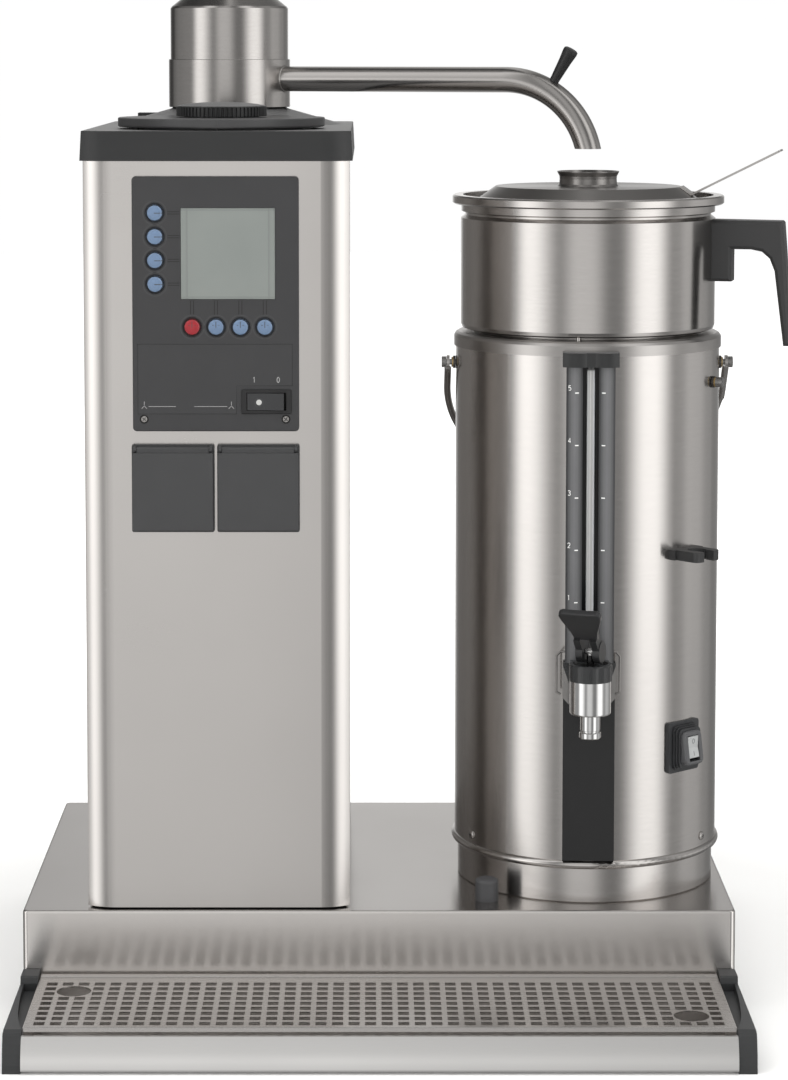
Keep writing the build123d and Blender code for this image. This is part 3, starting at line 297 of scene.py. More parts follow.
def floor_material():
    """Pale floor that brightens evenly away from the object, as a lit sweep does."""
    m = Mat("pale_floor")
    x, y, z = m.sep()
    r = m.math("SQRT", m.math("ADD", m.math("MULTIPLY", x, x), m.math("MULTIPLY", y, y)))
    c = m.ramp(m.noise(m.co, 3.0, 4.0, 0.5), [(0.3, (0.845, 0.845, 0.84)), (0.7, (0.86, 0.86, 0.855))])
    m.set(color=c, rough=0.8, spec=0.2, emit=[1.0, 1.0, 1.0], emit_k=m.range(r, 0.45, 1.6, 0.0, 0.75))
    return m.m


floor = mesh_object("floor", [(-9, -9, 0), (9, -9, 0), (9, 9, 0), (-9, 9, 0)], [(0, 1, 2, 3)], floor_material())
floor.visible_glossy = False

# plain wall far behind, seen only directly
ring_v, ring_f, nseg = [], [], 96
for k in range(nseg):
    a = 2 * pi * k / nseg
    for z in (-0.5, 9.0):
        ring_v.append((8.9 * cos(a), 8.9 * sin(a), z))
for k in range(nseg):
    a, b = 2 * k, 2 * ((k + 1) % nseg)
    ring_f.append((a, b, b + 1, a + 1))
wall = mesh_object("wall", ring_v, ring_f, stage_material("pale_wall", (0.0, 0.0, 0.0), 0.9, 1.0), True)
wall.visible_diffuse = False
wall.visible_glossy = False
wall.visible_shadow = False

# studio surroundings: soft panels left and right of the camera, greyer sides
world = bpy.data.worlds.new("studio")
scene.world = world
world.use_nodes = True
wt = world.node_tree
wt.nodes.clear()


class W(Mat):
    def __init__(self, tree):
        self.t = tree
        self.co = tree.nodes.new("ShaderNodeTexCoord").outputs["Generated"]


w = W(wt)
wx, wy, wz = w.sep()
az = w.math("ARCTAN2", wx, w.math("MULTIPLY", wy, -1.0))          # 0 towards the camera side, + to the right
az = w.math("MULTIPLY", az, 180 / pi)
elev = w.math("MULTIPLY", w.math("ARCSINE", w.math("MINIMUM", w.math("MAXIMUM", wz, -1.0), 1.0)), 180 / pi)


def smooth(v, a, b, c, d):
    n = w.new("ShaderNodeMapRange", interpolation_type="SMOOTHSTEP")
    w.put(n.inputs[0], v)
    for k, q in enumerate((a, b, c, d)):
        n.inputs[k + 1].default_value = q
    return n.outputs[0]


def panel(rise0, rise1, fall0, fall1, k):
    """A soft panel that stands between two directions, with its own soft edges."""
    return w.math("MULTIPLY", w.math("MULTIPLY", smooth(az, rise0, rise1, 0.0, 1.0), smooth(az, fall0, fall1, 1.0, 0.0)), k)


BASE = [(-180, 1.05), (-170, .70), (-158, .16), (-146, .06), (-136, .08), (-127, .23), (-112, .32), (-85, .38), (-60, .40), (-40, .38),
        (20, .30), (34, .28), (72, .34), (86, .46), (96, .66), (110, .62), (126, .42), (144, .27), (156, .26), (168, .60), (180, 1.05)]
rad = w.ramp(w.range(az, -180.0, 180.0, 0.0, 1.0), [((a + 180) / 360.0, v) for a, v in BASE], "EASE")
for p in ((-76, -60, -56, -27, 1.36),          # left soft box
          (24, 49, 57, 80, 1.42),              # right soft box
          (-31, -13, -1, 18, .54)):            # weaker panel behind the camera
    rad = w.math("ADD", rad, panel(*p))
EL_STOPS = [(-90, .45), (-40, .55), (-20, .66), (-14, .76), (-8, .93), (-4, .97), (-1, 1.03), (4, 1.08), (9, .88), (16, .66), (30, .74), (60, .72), (90, .6)]
el_r = w.ramp(w.range(elev, -90.0, 90.0, 0.0, 1.0), [((e + 90) / 180.0, v) for e, v in EL_STOPS], "EASE")
rad = w.math("MULTIPLY", rad, el_r)
bg = w.new("ShaderNodeBackground")
bg.inputs[0].default_value = (1.0, 0.995, 0.985, 1.0)
w.put(bg.inputs[1], rad)
wo = w.new("ShaderNodeOutputWorld")
wt.links.new(bg.outputs[0], wo.inputs[0])


def area(name, loc, target, size, power, size_y=None, glossy=False):
    d = bpy.data.lights.new(name, "AREA")
    d.shape = "RECTANGLE"
    d.size, d.size_y = size, size_y or size
    d.energy = power
    d.color = (1.0, 0.995, 0.985)
    o = bpy.data.objects.new(name, d)
    scene.collection.objects.link(o)
    o.location = loc
    o.rotation_euler = (Vector(target) - Vector(loc)).to_track_quat("-Z", "Y").to_euler()
    o.visible_glossy = glossy
    o.visible_camera = False
    return o


area("overhead", (0, -0.2, 3.2), (0, 0, 0), 4.5, 150)
area("fill_left", (-2.2, -2.6, 1.5), (0, 0, 0.35), 1.8, 22)
area("fill_right", (2.2, -2.6, 1.5), (0, 0, 0.35), 1.8, 22)

# ---------------------------------------------------------------------------
# materials of the CAD nodes
# ---------------------------------------------------------------------------
cx, cy = C(0, 0, 0).x, C(0, 0, 0).y
hx, hy = P(-121.8, 135, 0).x, P(-121.8, 135, 0).y
col_x = P(-122.3, 0, 0).x


def column_bow(m):
    x, y, z = m.sep()
    dx = m.math("SUBTRACT", x, col_x)
    flat = m.math("MINIMUM", m.math("ABSOLUTE", dx), 0.083)
    return m.math("MULTIPLY", m.math("MULTIPLY", flat, flat), -0.16)


M = {}
M["drum"] = steel("steel_drum", ("round", cx, cy), base=0.62, rough=0.19)
M["drum_dark"] = steel("steel_drum_base", ("round", cx, cy), base=0.64, rough=0.22)
M["pan"] = steel("steel_pan", ("round", cx, cy), base=0.58, rough=0.21, var=0.05)
M["lid"] = steel("steel_lid", ("round", cx, cy), base=0.33, rough=0.30)
M["front"] = steel("steel_column_front", "x", base=0.70, rough=0.24, aniso=0.5, var=0.015, bow=column_bow)
M["side"] = steel("steel_column_side", "z", base=0.60, rough=0.28, aniso=0.5, bump=0.008, var=0.010, smudge=0.01, left_metal=0.78)
# front faces painted brighter than the top: painted light
M["platform"] = steel("steel_platform", "x", base=0.56, rough=0.22, aniso=0.6, var=0.02, front=0.86)
M["grille"] = steel("steel_grille", "x", base=0.62, rough=0.28, aniso=0.3)
M["tray"] = steel("steel_tray", "x", base=0.82, rough=0.34, aniso=0.3)
M["head"] = steel("steel_head", ("round", hx, hy), base=0.47, rough=0.19, var=0.06)
M["tube"] = steel("steel_tube", "x", base=0.46, rough=0.22, aniso=0.0, bump=0.02, var=0.03)
M["wire"] = steel("steel_wire", "z", base=0.52, rough=0.24, aniso=0.0)
M["inner"] = steel("steel_inner", ("round", cx, cy), base=0.52, rough=0.32, aniso=0.3)
M["alu"] = steel("aluminium_satin", "x", base=0.96, tint=(1, .99, .975), rough=0.34, aniso=0.4, var=0.015)
M["strip"] = steel("steel_strip", "x", base=0.58, rough=0.24, aniso=0.2)
M["clip"] = steel("steel_clip_wire", "z", base=0.36, rough=0.26, aniso=0.0)
M["screw"] = steel("steel_screw", "x", base=0.40, rough=0.22, aniso=0.0, bump=0.12, var=0.12)


def tap_uv(m, az_deg):
    """Sideways and outward distance from the container axis, in the direction az_deg."""
    x, y, z = m.sep()
    dx, dy = m.math("SUBTRACT", x, cx), m.math("SUBTRACT", y, cy)
    ca, sa = cos(radians(az_deg)), sin(radians(az_deg))
    u = m.math("ADD", m.math("MULTIPLY", dx, ca), m.math("MULTIPLY", dy, sa))
    v = m.math("SUBTRACT", m.math("MULTIPLY", dy, ca), m.math("MULTIPLY", dx, sa))
    return u, v, z


def chrome(name, base=0.80, rough=0.06):
    """Polished body; the flat side plates behind it are left brushed and darker."""
    m = Mat(name)
    u, v, z = tap_uv(m, FRONT_AZ)
    n = m.noise(m.co, 240.0, 3.0, 0.5)
    fine = m.noise(m.stretch(2400.0, 2400.0, 160.0), 1.0, 2.0, 0.6)
    side = m.math("GREATER_THAN", m.math("ABSOLUTE", u), 0.01925)
    side = m.math("MAXIMUM", side, m.math("GREATER_THAN", v, -0.1195))
    c = m.ramp(n, [(0.3, [base * 0.96] * 3), (0.7, [base, base, base * 0.995])])
    d = m.ramp(fine, [(0.3, (0.27, 0.262, 0.255)), (0.7, (0.33, 0.322, 0.314))])
    rr = m.range(m.noise(m.co, 60.0, 4.0, 0.6), 0.3, 0.7, rough - 0.02, rough + 0.03)
    rr = m.math("ADD", rr, m.math("MULTIPLY", side, 0.22))
    m.set(color=m.mix(side, c, d), metal=1.0, rough=rr, normal=m.bump(n, 0.02, 0.0002))
    return m.m


M["chrome"] = chrome("chrome_tap")
def cap_material():
    """Black moulding; its upward faces are painted greyer, a painted highlight for the light they catch from above."""
    m = Mat("plastic_cap")
    g = m.noise(m.co, 2600.0, 3.0, 0.6)
    big = m.noise(m.stretch(30.0, 90.0, 90.0), 1.0, 4.0, 0.6)
    mixv = m.math("ADD", m.math("MULTIPLY", g, 0.5), m.math("MULTIPLY", big, 0.5))
    c = m.ramp(mixv, [(0.32, (0.0150, 0.0155, 0.016)), (0.68, (0.0185, 0.019, 0.0195))])
    # greyer colour for upward faces: painted highlight, not the moulding's own colour
    d = m.ramp(mixv, [(0.32, (0.078, 0.078, 0.079)), (0.68, (0.102, 0.102, 0.103))])
    nz = m.sep(m.new("ShaderNodeNewGeometry").outputs["Normal"])[2]
    m.set(color=m.mix(m.range(nz, 0.7, 0.95, 0.0, 1.0), c, d), rough=m.range(mixv, 0.3, 0.7, 0.37, 0.47), normal=m.bump(g, 0.16, 0.00012), spec=0.5)
    return m.m


M["cap"] = cap_material()
M["cover"] = plastic("plastic_cover", (0.040, 0.040, 0.041), rough=0.42, grain=2600)
M["panel"] = plastic("plastic_panel", (0.0302, 0.0303, 0.0318), rough=0.46, grain=3200)
M["flap"] = plastic("plastic_flap", (0.0385, 0.039, 0.0405), rough=0.46)
M["endcap"] = plastic("plastic_end_cap", (0.028, 0.029, 0.030), rough=0.44)
M["black"] = plastic("plastic_black", (0.012, 0.012, 0.0125), rough=0.40)
M["switch"] = plastic("plastic_switch", (0.026, 0.0265, 0.028), rough=0.36)
M["lever"] = plastic("plastic_lever", (0.018, 0.0182, 0.019), rough=0.30, grain=1800, depth=0.06)
M["halo"] = plastic("plastic_rim", (0.058, 0.059, 0.062), rough=0.42)
M["handle"] = plastic("plastic_handle", (0.024, 0.024, 0.0245), rough=0.45)
M["blue"] = plastic("button_blue", (0.112, 0.168, 0.262), rough=0.28, grain=4000, depth=0.05, var=0.05)
M["red"] = plastic("button_red", (0.25, 0.014, 0.020), rough=0.28, grain=4000, depth=0.05, var=0.05)
M["white"] = plastic("rocker_white", (0.36, 0.37, 0.37), rough=0.34, grain=3000, depth=0.04, var=0.04)
M["rubber"] = plastic("rubber_black", (0.018, 0.018, 0.019), rough=0.62, spec=0.3)


def boot_material():
    """Black rubber bellows; the frame round the rocker is a greyer moulding."""
    m = Mat("rubber_boot")
    u, v, z = tap_uv(m, 42.5)
    g = m.noise(m.co, 2600.0, 3.0, 0.6)
    dark = m.ramp(g, [(0.32, (0.026, 0.027, 0.029)), (0.68, (0.032, 0.033, 0.035))])
    grey = m.ramp(g, [(0.32, (0.066, 0.067, 0.070)), (0.68, (0.082, 0.083, 0.087))])
    front_part = m.math("MULTIPLY", m.math("LESS_THAN", v, -0.1117), m.math("GREATER_THAN", m.math("MAXIMUM", m.math("ABSOLUTE", u),
                        m.math("MULTIPLY", m.math("ABSOLUTE", m.math("SUBTRACT", z, 0.1976)), 0.6)), 0.0059))
    m.set(color=m.mix(front_part, dark, grey), rough=m.range(g, 0.3, 0.7, 0.42, 0.52), normal=m.bump(g, 0.16, 0.00012))
    return m.m


M["boot"] = boot_material()
M["stud"] = plastic("rubber_stud", (0.060, 0.060, 0.063), rough=0.55)
M["bonnet"] = plastic("plastic_bonnet", (0.022, 0.023, 0.024), rough=0.26, grain=1200, depth=0.03, coat=0.0)
M["hose"] = plastic("silicone_hose", (0.55, 0.53, 0.50), rough=0.5, depth=0.05)
M["board"] = plastic("circuit_board", (0.03, 0.13, 0.07), rough=0.4)


def rail_material():
    """Dark grey moulding: the bars are greyer than the flat strip below, with painted shade across each bar (a painted
    highlight at its middle, darker edges), and the slot between them painted black as its shade.
    """
    m = Mat("plastic_rail")
    u, v, z = tap_uv(m, FRONT_AZ)
    g = m.noise(m.co, 2600.0, 3.0, 0.6)
    big = m.noise(m.co, 60.0, 4.0, 0.6)
    mixv = m.math("ADD", m.math("MULTIPLY", g, 0.5), m.math("MULTIPLY", big, 0.5))
    k = m.math("ABSOLUTE", m.math("SUBTRACT", m.math("ABSOLUTE", u), 0.0122))
    # painted shade across each bar: painted highlight at its middle, darker towards its edges
    lit = m.ramp(m.range(k, 0.0, 0.0062, 0.0, 1.0), [(0.0, (0.128, 0.129, 0.134)), (0.30, (0.112, 0.113, 0.117)), (0.62, (0.068, 0.069, 0.072)),
                                                       (0.85, (0.036, 0.037, 0.039)), (1.0, (0.026, 0.026, 0.028))], "EASE")
    bars = m.mix(m.range(mixv, 0.3, 0.7, 0.0, 0.22), lit, (0.05, 0.05, 0.052))
    flat = m.ramp(mixv, [(0.32, (0.0085, 0.0086, 0.009)), (0.68, (0.0115, 0.0116, 0.012))])
    c = m.mix(m.range(z, 0.266, 0.2695, 1.0, 0.0), bars, flat)
    # slot between the bars painted black: painted shade
    slot = m.math("MULTIPLY", m.math("LESS_THAN", m.math("ABSOLUTE", u), 0.00605), m.math("GREATER_THAN", v, -0.1135))
    slot = m.math("MULTIPLY", slot, m.math("GREATER_THAN", z, 0.275))
    c = m.mix(slot, c, (0.008, 0.008, 0.008))
    m.set(color=c, rough=m.range(mixv, 0.3, 0.7, 0.36, 0.46), normal=m.bump(g, 0.14, 0.00012), spec=0.5)
    return m.m


M["rail"] = rail_material()


def stem_material():
    """Stem painted dark below the cross pin as painted shade inside the tap; only the cross pin at the lever is bright.
    """
    m = Mat("tap_stem_steel")
    n = m.noise(m.co, 500.0, 3.0, 0.6)
    x, y, z = m.sep()
    pin = m.math("GREATER_THAN", z, 0.2812)
    # dark part of the stem: painted shade
    dark = m.ramp(n, [(0.3, (0.030, 0.030, 0.031)), (0.7, (0.042, 0.042, 0.043))])
    bright = m.ramp(n, [(0.3, (0.55, 0.545, 0.54)), (0.7, (0.68, 0.675, 0.67))])
    m.set(color=m.mix(pin, dark, bright), metal=0.9, rough=m.range(n, 0.3, 0.7, 0.22, 0.32), normal=m.bump(n, 0.03, 0.0002))
    return m.m


M["stem"] = stem_material()


def brass():
    m = Mat("brass_fitting")
    n = m.noise(m.co, 300.0, 3.0, 0.6)
    c = m.ramp(n, [(0.3, (0.50, 0.36, 0.15)), (0.7, (0.62, 0.46, 0.20))])
    m.set(color=c, metal=1.0, rough=m.range(n, 0.3, 0.7, 0.25, 0.38), normal=m.bump(n, 0.05, 0.0002))
    return m.m


M["brass"] = brass()


def bolts_material():
    """Pivot bolts: dark washer at the wall, brass washer, steel shank and head, by distance from the container axis."""
    m = Mat("side_bolts")
    x, y, z = m.sep()
    dx, dy = m.math("SUBTRACT", x, cx), m.math("SUBTRACT", y, cy)
    r = m.math("SQRT", m.math("ADD", m.math("MULTIPLY", dx, dx), m.math("MULTIPLY", dy, dy)))
    n = m.noise(m.co, 500.0, 3.0, 0.6)
    st = m.ramp(n, [(0.3, (0.25, 0.245, 0.24)), (0.7, (0.36, 0.352, 0.345))])
    br = m.ramp(n, [(0.3, (0.42, 0.30, 0.13)), (0.7, (0.58, 0.43, 0.20))])
    is_brass = m.math("MULTIPLY", m.math("GREATER_THAN", r, 0.10565), m.math("LESS_THAN", r, 0.1066))
    is_dark = m.math("LESS_THAN", r, 0.10555)
    c = m.mix(is_brass, st, br)
    c = m.mix(is_dark, c, (0.10, 0.095, 0.09))
    m.set(color=c, metal=0.95, rough=m.range(n, 0.3, 0.7, 0.22, 0.34), normal=m.bump(n, 0.06, 0.0002))
    return m.m


M["bolts"] = bolts_material()


def glass_material():
    """Sight glass: thick-walled tube with painted highlights and reflections in fine upright lines; empty, so clear at
    both ends, which are painted dark as the shaded slot seen through it.
    """
    m = Mat("gauge_glass")
    u, v, z = tap_uv(m, FRONT_AZ)
    n = m.noise(m.stretch(900.0, 900.0, 6.0), 1.0, 2.0, 0.5)
    uu = m.math("ADD", u, m.range(n, 0.3, 0.7, -0.00006, 0.00006))
    f = m.range(uu, -0.0033, 0.0033, 0.0, 1.0)
    # painted highlights and reflections in upright lines across the tube
    c = m.ramp(f, [(0.0, (0.05, 0.05, 0.052)), (0.05, (0.16, 0.165, 0.17)), (0.10, (0.40, 0.41, 0.41)), (0.20, (0.46, 0.46, 0.455)),
                   (0.27, (0.30, 0.30, 0.30)), (0.34, (0.34, 0.34, 0.34)), (0.44, (0.40, 0.40, 0.395)), (0.55, (0.31, 0.31, 0.31)),
                   (0.66, (0.30, 0.30, 0.30)), (0.74, (0.33, 0.33, 0.335)), (0.83, (0.52, 0.53, 0.54)), (0.90, (0.40, 0.42, 0.44)),
                   (0.96, (0.12, 0.12, 0.125)), (1.0, (0.05, 0.05, 0.052))])
    # both ends painted dark: painted shade of the slot seen through the clear glass
    end = m.math("MAXIMUM", m.range(z, 0.4915, 0.4930, 0.0, 1.0), m.range(z, 0.2985, 0.2955, 0.0, 1.0), clamp=True)
    c = m.mix(end, c, (0.05, 0.05, 0.05))
    m.set(color=c, rough=m.range(n, 0.3, 0.7, 0.06, 0.12), trans=0.12, ior=1.47, spec=0.5)
    return m.m


M["glass"] = glass_material()


def display_material():
    """Grey-green liquid crystal behind a clear window, with a slightly darker frame inside its edge."""
    m = Mat("display_glass")
    x, y, z = m.sep()
    c0 = P(-113.25, 0, 580.95)
    ax = m.math("ABSOLUTE", m.math("SUBTRACT", x, c0.x))
    azz = m.math("ABSOLUTE", m.math("SUBTRACT", z, c0.z))
    grain = m.noise(m.co, 2200.0, 2.0, 0.5)
    cloud = m.noise(m.co, 22.0, 3.0, 0.5)
    lcd = m.ramp(cloud, [(0.3, (0.160, 0.176, 0.166)), (0.7, (0.174, 0.190, 0.179))])
    lcd = m.mix(m.math("MULTIPLY", grain, 0.10), lcd, (0.13, 0.142, 0.132))
    wob = m.math("ADD", ax, m.range(m.noise(m.stretch(1.0, 1.0, 260.0), 1.0, 2.0, 0.5), 0.3, 0.7, -0.00012, 0.00012))
    line = m.ramp(m.range(wob, 0.0296, 0.0322, 0.0, 1.0), [(0.0, 0.0), (0.30, 0.32), (0.48, 0.50), (0.60, 0.10), (0.80, 0.18), (1.0, 0.05)], "EASE")
    top = m.ramp(m.range(azz, 0.0318, 0.0336, 0.0, 1.0), [(0.0, 0.0), (0.45, 0.34), (0.8, 0.12), (1.0, 0.10)], "EASE")
    e = m.math("MAXIMUM", line, top, clamp=True)
    c = m.mix(e, lcd, (0.085, 0.094, 0.090))
    m.set(color=c, rough=0.28, spec=0.5, coat=0.5, coat_rough=0.12, normal=m.bump(grain, 0.03, 0.0001))
    return m.m


M["display"] = display_material()

ASSIGN = {
    "platform_shell": "platform", "platform_feet": "rubber", "locating_stud": "stud",
    "tray_body": "tray", "tray_front": "alu", "tray_end_caps": "endcap", "tray_grille": "grille",
    "column_front": "front", "column_shell": "side", "column_cap": "cap", "access_cover": "cover", "port_cap": "cap",
    "boiler_tank": "side", "heating_element": "wire", "inlet_valve": "brass", "riser_hose": "hose", "control_board": "board",
    "cable_gland": "black", "control_panel": "panel", "display_window": "display", "switch_frame": "black",
    "switch_rocker": "switch", "panel_screws": "screw", "socket_left": "flap", "socket_right": "flap",
    "flap_left": "flap", "flap_right": "flap", "head_collar": "head", "head_cap": "head", "arm_tube": "tube", "arm_grip": "black",
    "container_shell": "drum", "container_base": "drum_dark", "inner_tank": "inner", "container_heater": "alu",
    "gauge_rail": "rail", "gauge_tube": "glass", "gauge_bracket": "cap", "tap_body": "chrome", "tap_bonnet": "bonnet",
    "tap_clip": "clip", "tap_lever": "lever", "tap_stem": "stem", "cord_clip": "handle", "urn_switch_boot": "boot",
    "urn_switch_rocker": "white", "bail": "wire", "side_bolts": "bolts", "filter_pan": "pan", "pan_handle": "handle",
    "pan_lid": "lid", "lid_handle": "strip",
}
for k in range(1, 9):
    ASSIGN["button_%d" % k] = "red" if k == 5 else "blue"
for node, key in ASSIGN.items():
    o = NODES[node]
    if not o.data.materials:
        o.data.materials.append(M[key])
    for s in o.material_slots:
        s.material = M[key]

# ---------------------------------------------------------------------------
# printed and fitted details
# ---------------------------------------------------------------------------
M["print"] = plastic("print_white", (0.72, 0.72, 0.71), rough=0.5, grain=2000, depth=0.05, var=0.04)
M["lamp"] = plastic("lamp_lens", (0.40, 0.40, 0.39), rough=0.25, grain=3000, depth=0.3, var=0.12)
M["print_grey"] = plastic("print_grey", (0.33, 0.33, 0.33), rough=0.5, grain=2000, depth=0.05, var=0.05)
M["ink"] = plastic("print_dark", (0.045, 0.045, 0.047), rough=0.5, grain=2000, depth=0.05)
M["plate"] = plastic("label_plate", (0.0312, 0.0314, 0.0328), rough=0.42, grain=3600, depth=0.10)
# near-black used as painted shade in hollows (button rims, screw recesses, countersinks); also for the dark joint and
# groove lines
M["recess"] = plastic("dark_recess", (0.012, 0.012, 0.012), rough=0.6)


def solid(name, bm, body, mat, smooth=False):
    me = bpy.data.meshes.new(name)
    bmesh.ops.recalc_face_normals(bm, faces=bm.faces)
    bm.to_mesh(me)
    bm.free()
    if smooth:
        for p in me.polygons:
            p.use_smooth = True
    o = bpy.data.objects.new(name, me)
    scene.collection.objects.link(o)
    me.materials.append(M[mat])
    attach(o, body)
    return o


def plate(bm, outline, place, t0, t1):
    """Flat piece: outline in (u, v), thickness from t0 to t1 along w, all put in place by place(u, v, w)."""
    a = [bm.verts.new(place(u, v, t0)) for u, v in outline]
    b = [bm.verts.new(place(u, v, t1)) for u, v in outline]
    bm.faces.new(list(reversed(a)))
    bm.faces.new(b)
    n = len(outline)
    for k in range(n):
        bm.faces.new((a[k], a[(k + 1) % n], b[(k + 1) % n], b[k]))


def strip(bm, u0, u1, v0, v1, place, t0, t1, nu=1):
    """Rectangle cut into nu slices along u, so that it can follow a curved face."""
    rows = []
    for k in range(nu + 1):
        u = u0 + (u1 - u0) * k / nu
        rows.append([bm.verts.new(place(u, v, t)) for v, t in ((v0, t0), (v1, t0), (v1, t1), (v0, t1))])
    for r, q in zip(rows[:-1], rows[1:]):
        for k in range(4):
            bm.faces.new((r[k], q[k], q[(k + 1) % 4], r[(k + 1) % 4]))
    bm.faces.new(rows[0])
    bm.faces.new(list(reversed(rows[-1])))


def ring(bm, cu, cv, ru, rv, w, place, t0, t1, n=36):
    for k in range(n):
        q = []
        for j in (k, k + 1):
            a = 2 * pi * j / n
            for e in (1.0, (ru - w) / ru):
                q.append((cu + ru * e * cos(a), cv + (rv - (w if e < 1 else 0)) * sin(a)))
        plate(bm, [q[0], q[2], q[3], q[1]], place, t0, t1)
    bmesh.ops.remove_doubles(bm, verts=bm.verts, dist=1e-6)


# figures drawn with strokes: list of polylines in a 1 x 1.6 box
FIGURES = {
    "1": [[(0.18, 1.28), (0.52, 1.6), (0.52, 0.0)]],
    "2": [[(0.05, 1.22), (0.14, 1.46), (0.36, 1.6), (0.64, 1.6), (0.88, 1.44), (0.94, 1.18), (0.84, 0.92), (0.04, 0.0), (0.98, 0.0)]],
    "3": [[(0.06, 1.44), (0.28, 1.6), (0.62, 1.6), (0.88, 1.42), (0.88, 1.08), (0.66, 0.88), (0.36, 0.86)],
          [(0.66, 0.70), (0.94, 0.60), (0.94, 0.28), (0.68, 0.02), (0.30, 0.0), (0.04, 0.2)]],
    "4": [[(0.70, 0.0), (0.70, 0.36)], [(0.70, 0.56), (0.70, 1.6), (0.05, 0.46), (0.98, 0.46)]],
    "5": [[(0.88, 1.6), (0.18, 1.6), (0.10, 0.86), (0.36, 1.0), (0.66, 1.0), (0.92, 0.76), (0.94, 0.34), (0.70, 0.04), (0.32, 0.0), (0.04, 0.18)]],
    "0": [[(0.5 + 0.42 * cos(2 * pi * k / 20), 0.8 + 0.8 * sin(2 * pi * k / 20)) for k in range(21)]],
}


def stroke(bm, pts, w, place, t0, t1):
    """One line of even width through the points, mitred at its corners so that no faces lie over each other."""
    n = len(pts)
    closed = (pts[0] - pts[-1]).length < 1e-9
    if closed:
        pts = pts[:-1]
        n -= 1
    left, right = [], []
    for k in range(n):
        a = pts[k - 1] if (k or closed) else pts[0] - (pts[1] - pts[0])
        b = pts[(k + 1) % n] if (k < n - 1 or closed) else pts[-1] + (pts[-1] - pts[-2])
        d0, d1 = (pts[k] - a).normalized(), (b - pts[k]).normalized()
        t = (d0 + d1).normalized()
        nn = Vector((-t.y, t.x))
        m_ = w / 2 / max(0.45, nn.dot(Vector((-d0.y, d0.x))))
        left.append(pts[k] + nn * m_)
        right.append(pts[k] - nn * m_)
    rows = [[bm.verts.new(place(q.x, q.y, t)) for q, t in ((left[k], t0), (right[k], t0), (right[k], t1), (left[k], t1))] for k in range(n)]
    pairs = list(zip(rows[:-1], rows[1:])) + ([(rows[-1], rows[0])] if closed else [])
    for r, q in pairs:
        for k in range(4):
            bm.faces.new((r[k], q[k], q[(k + 1) % 4], r[(k + 1) % 4]))
    if not closed:
        bm.faces.new(rows[0])
        bm.faces.new(list(reversed(rows[-1])))


def figure(bm, ch, u, v, h, w, place, t0, t1, wide=0.9):
    """Draws a figure whose lower left corner is (u, v), height h, stroke width w."""
    k = h / 1.6
    for line in FIGURES[ch]:
        stroke(bm, [Vector((u + a * k * wide, v + b * k)) for a, b in line], w, place, t0, t1)


# --- level gauge: ticks and figures on the convex bars ---------------------
def on_bar(u, v, w):
    k = min(8.2, abs(abs(u) - 12.2))
    y = -106.436 - sqrt(8.264 ** 2 - k * k)
    return C(u, y - w, v, FRONT_AZ)


bm = bmesh.new()
for k, z in enumerate((315.9, 355.9, 395.8, 435.7, 475.5)):
    strip(bm, -11.9, -9.2, z - 0.42, z + 0.42, on_bar, -0.25, 0.06, 4)
    strip(bm, 8.2, 10.9, z - 0.42, z + 0.42, on_bar, -0.25, 0.06, 4)
    figure(bm, str(k + 1), -16.9, z + 1.9, 3.6, 0.46, on_bar, -0.3, 0.10, 0.82)
solid("gauge_marks", bm, "container", "print")

# --- panel: label plate, figures, line -------------------------------------
front = lambda u, v, w: P(u, -99.3 - w, v)
bm = bmesh.new()
out = [(-181.0, 512.9), (-65.3, 512.9), (-65.3, 481.9), (-107.3, 481.9), (-107.3, 460.5), (-181.0, 460.5)]
plate(bm, out, front, -0.2, 0.16)
bmesh.ops.bevel(bm, geom=[e for e in bm.edges if all(abs(v.co.y - front(0, 0, 0.16).y) < 1e-7 for v in e.verts)], offset=0.00012,
                segments=1, affect="EDGES")
solid("label_plate", bm, "base", "plate")
bm = bmesh.new()
w = 0.29
for a, b in zip(out, out[1:] + out[:1]):                              # fine joint line round the plate
    x0, x1 = sorted((a[0], b[0]))
    z0, z1 = sorted((a[1], b[1]))
    plate(bm, [(x0 - w, z0 - w), (x1 + w, z0 - w), (x1 + w, z1 + w), (x0 - w, z1 + w)], front, -0.15, 0.03)
solid("label_gap", bm, "base", "recess")
bm = bmesh.new()
figure(bm, "1", -94.9, 484.2, 3.9, 0.42, front, 0.1, 0.22)
figure(bm, "0", -76.9, 484.2, 3.9, 0.42, front, 0.1, 0.22)
for x0, x1 in ((-173.2, -152.6), (-138.9, -114.2)):
    plate(bm, [(x0, 465.9), (x1, 465.9), (x1, 466.2), (x0, 466.2)], front, 0.1, 0.20)
for x in (-176.4, -111.0):                                             # small three-legged end marks
    for dx, dz in ((0.0, 3.4), (-2.0, -2.0), (2.0, -2.0)):
        q = Vector((dx, dz)).normalized()
        stroke(bm, [Vector((x, 466.4)) + q * 0.32, Vector((x + dx, 466.4 + dz))], 0.34, front, 0.1, 0.22)
solid("panel_print", bm, "base", "print_grey")

# --- buttons: dark rim painted as the shade of the gap round each button, engraved lines, faint halo on the panel ---
BUTTONS = [(-167.8, 611.5), (-167.8, 593.7), (-167.8, 575.9), (-167.8, 558.1), (-140.2, 525.9), (-122.3, 525.9), (-104.0, 525.9), (-85.7, 525.9)]


def dome(r):
    pts = [(0, 101.7), (2.4, 101.55), (4.4, 101.05), (5.6, 100.3), (6.15, 99.3)]
    for (r0, y0), (r1, y1) in zip(pts[:-1], pts[1:]):
        if r <= r1:
            return y0 + (y1 - y0) * (r - r0) / (r1 - r0)
    return 99.3


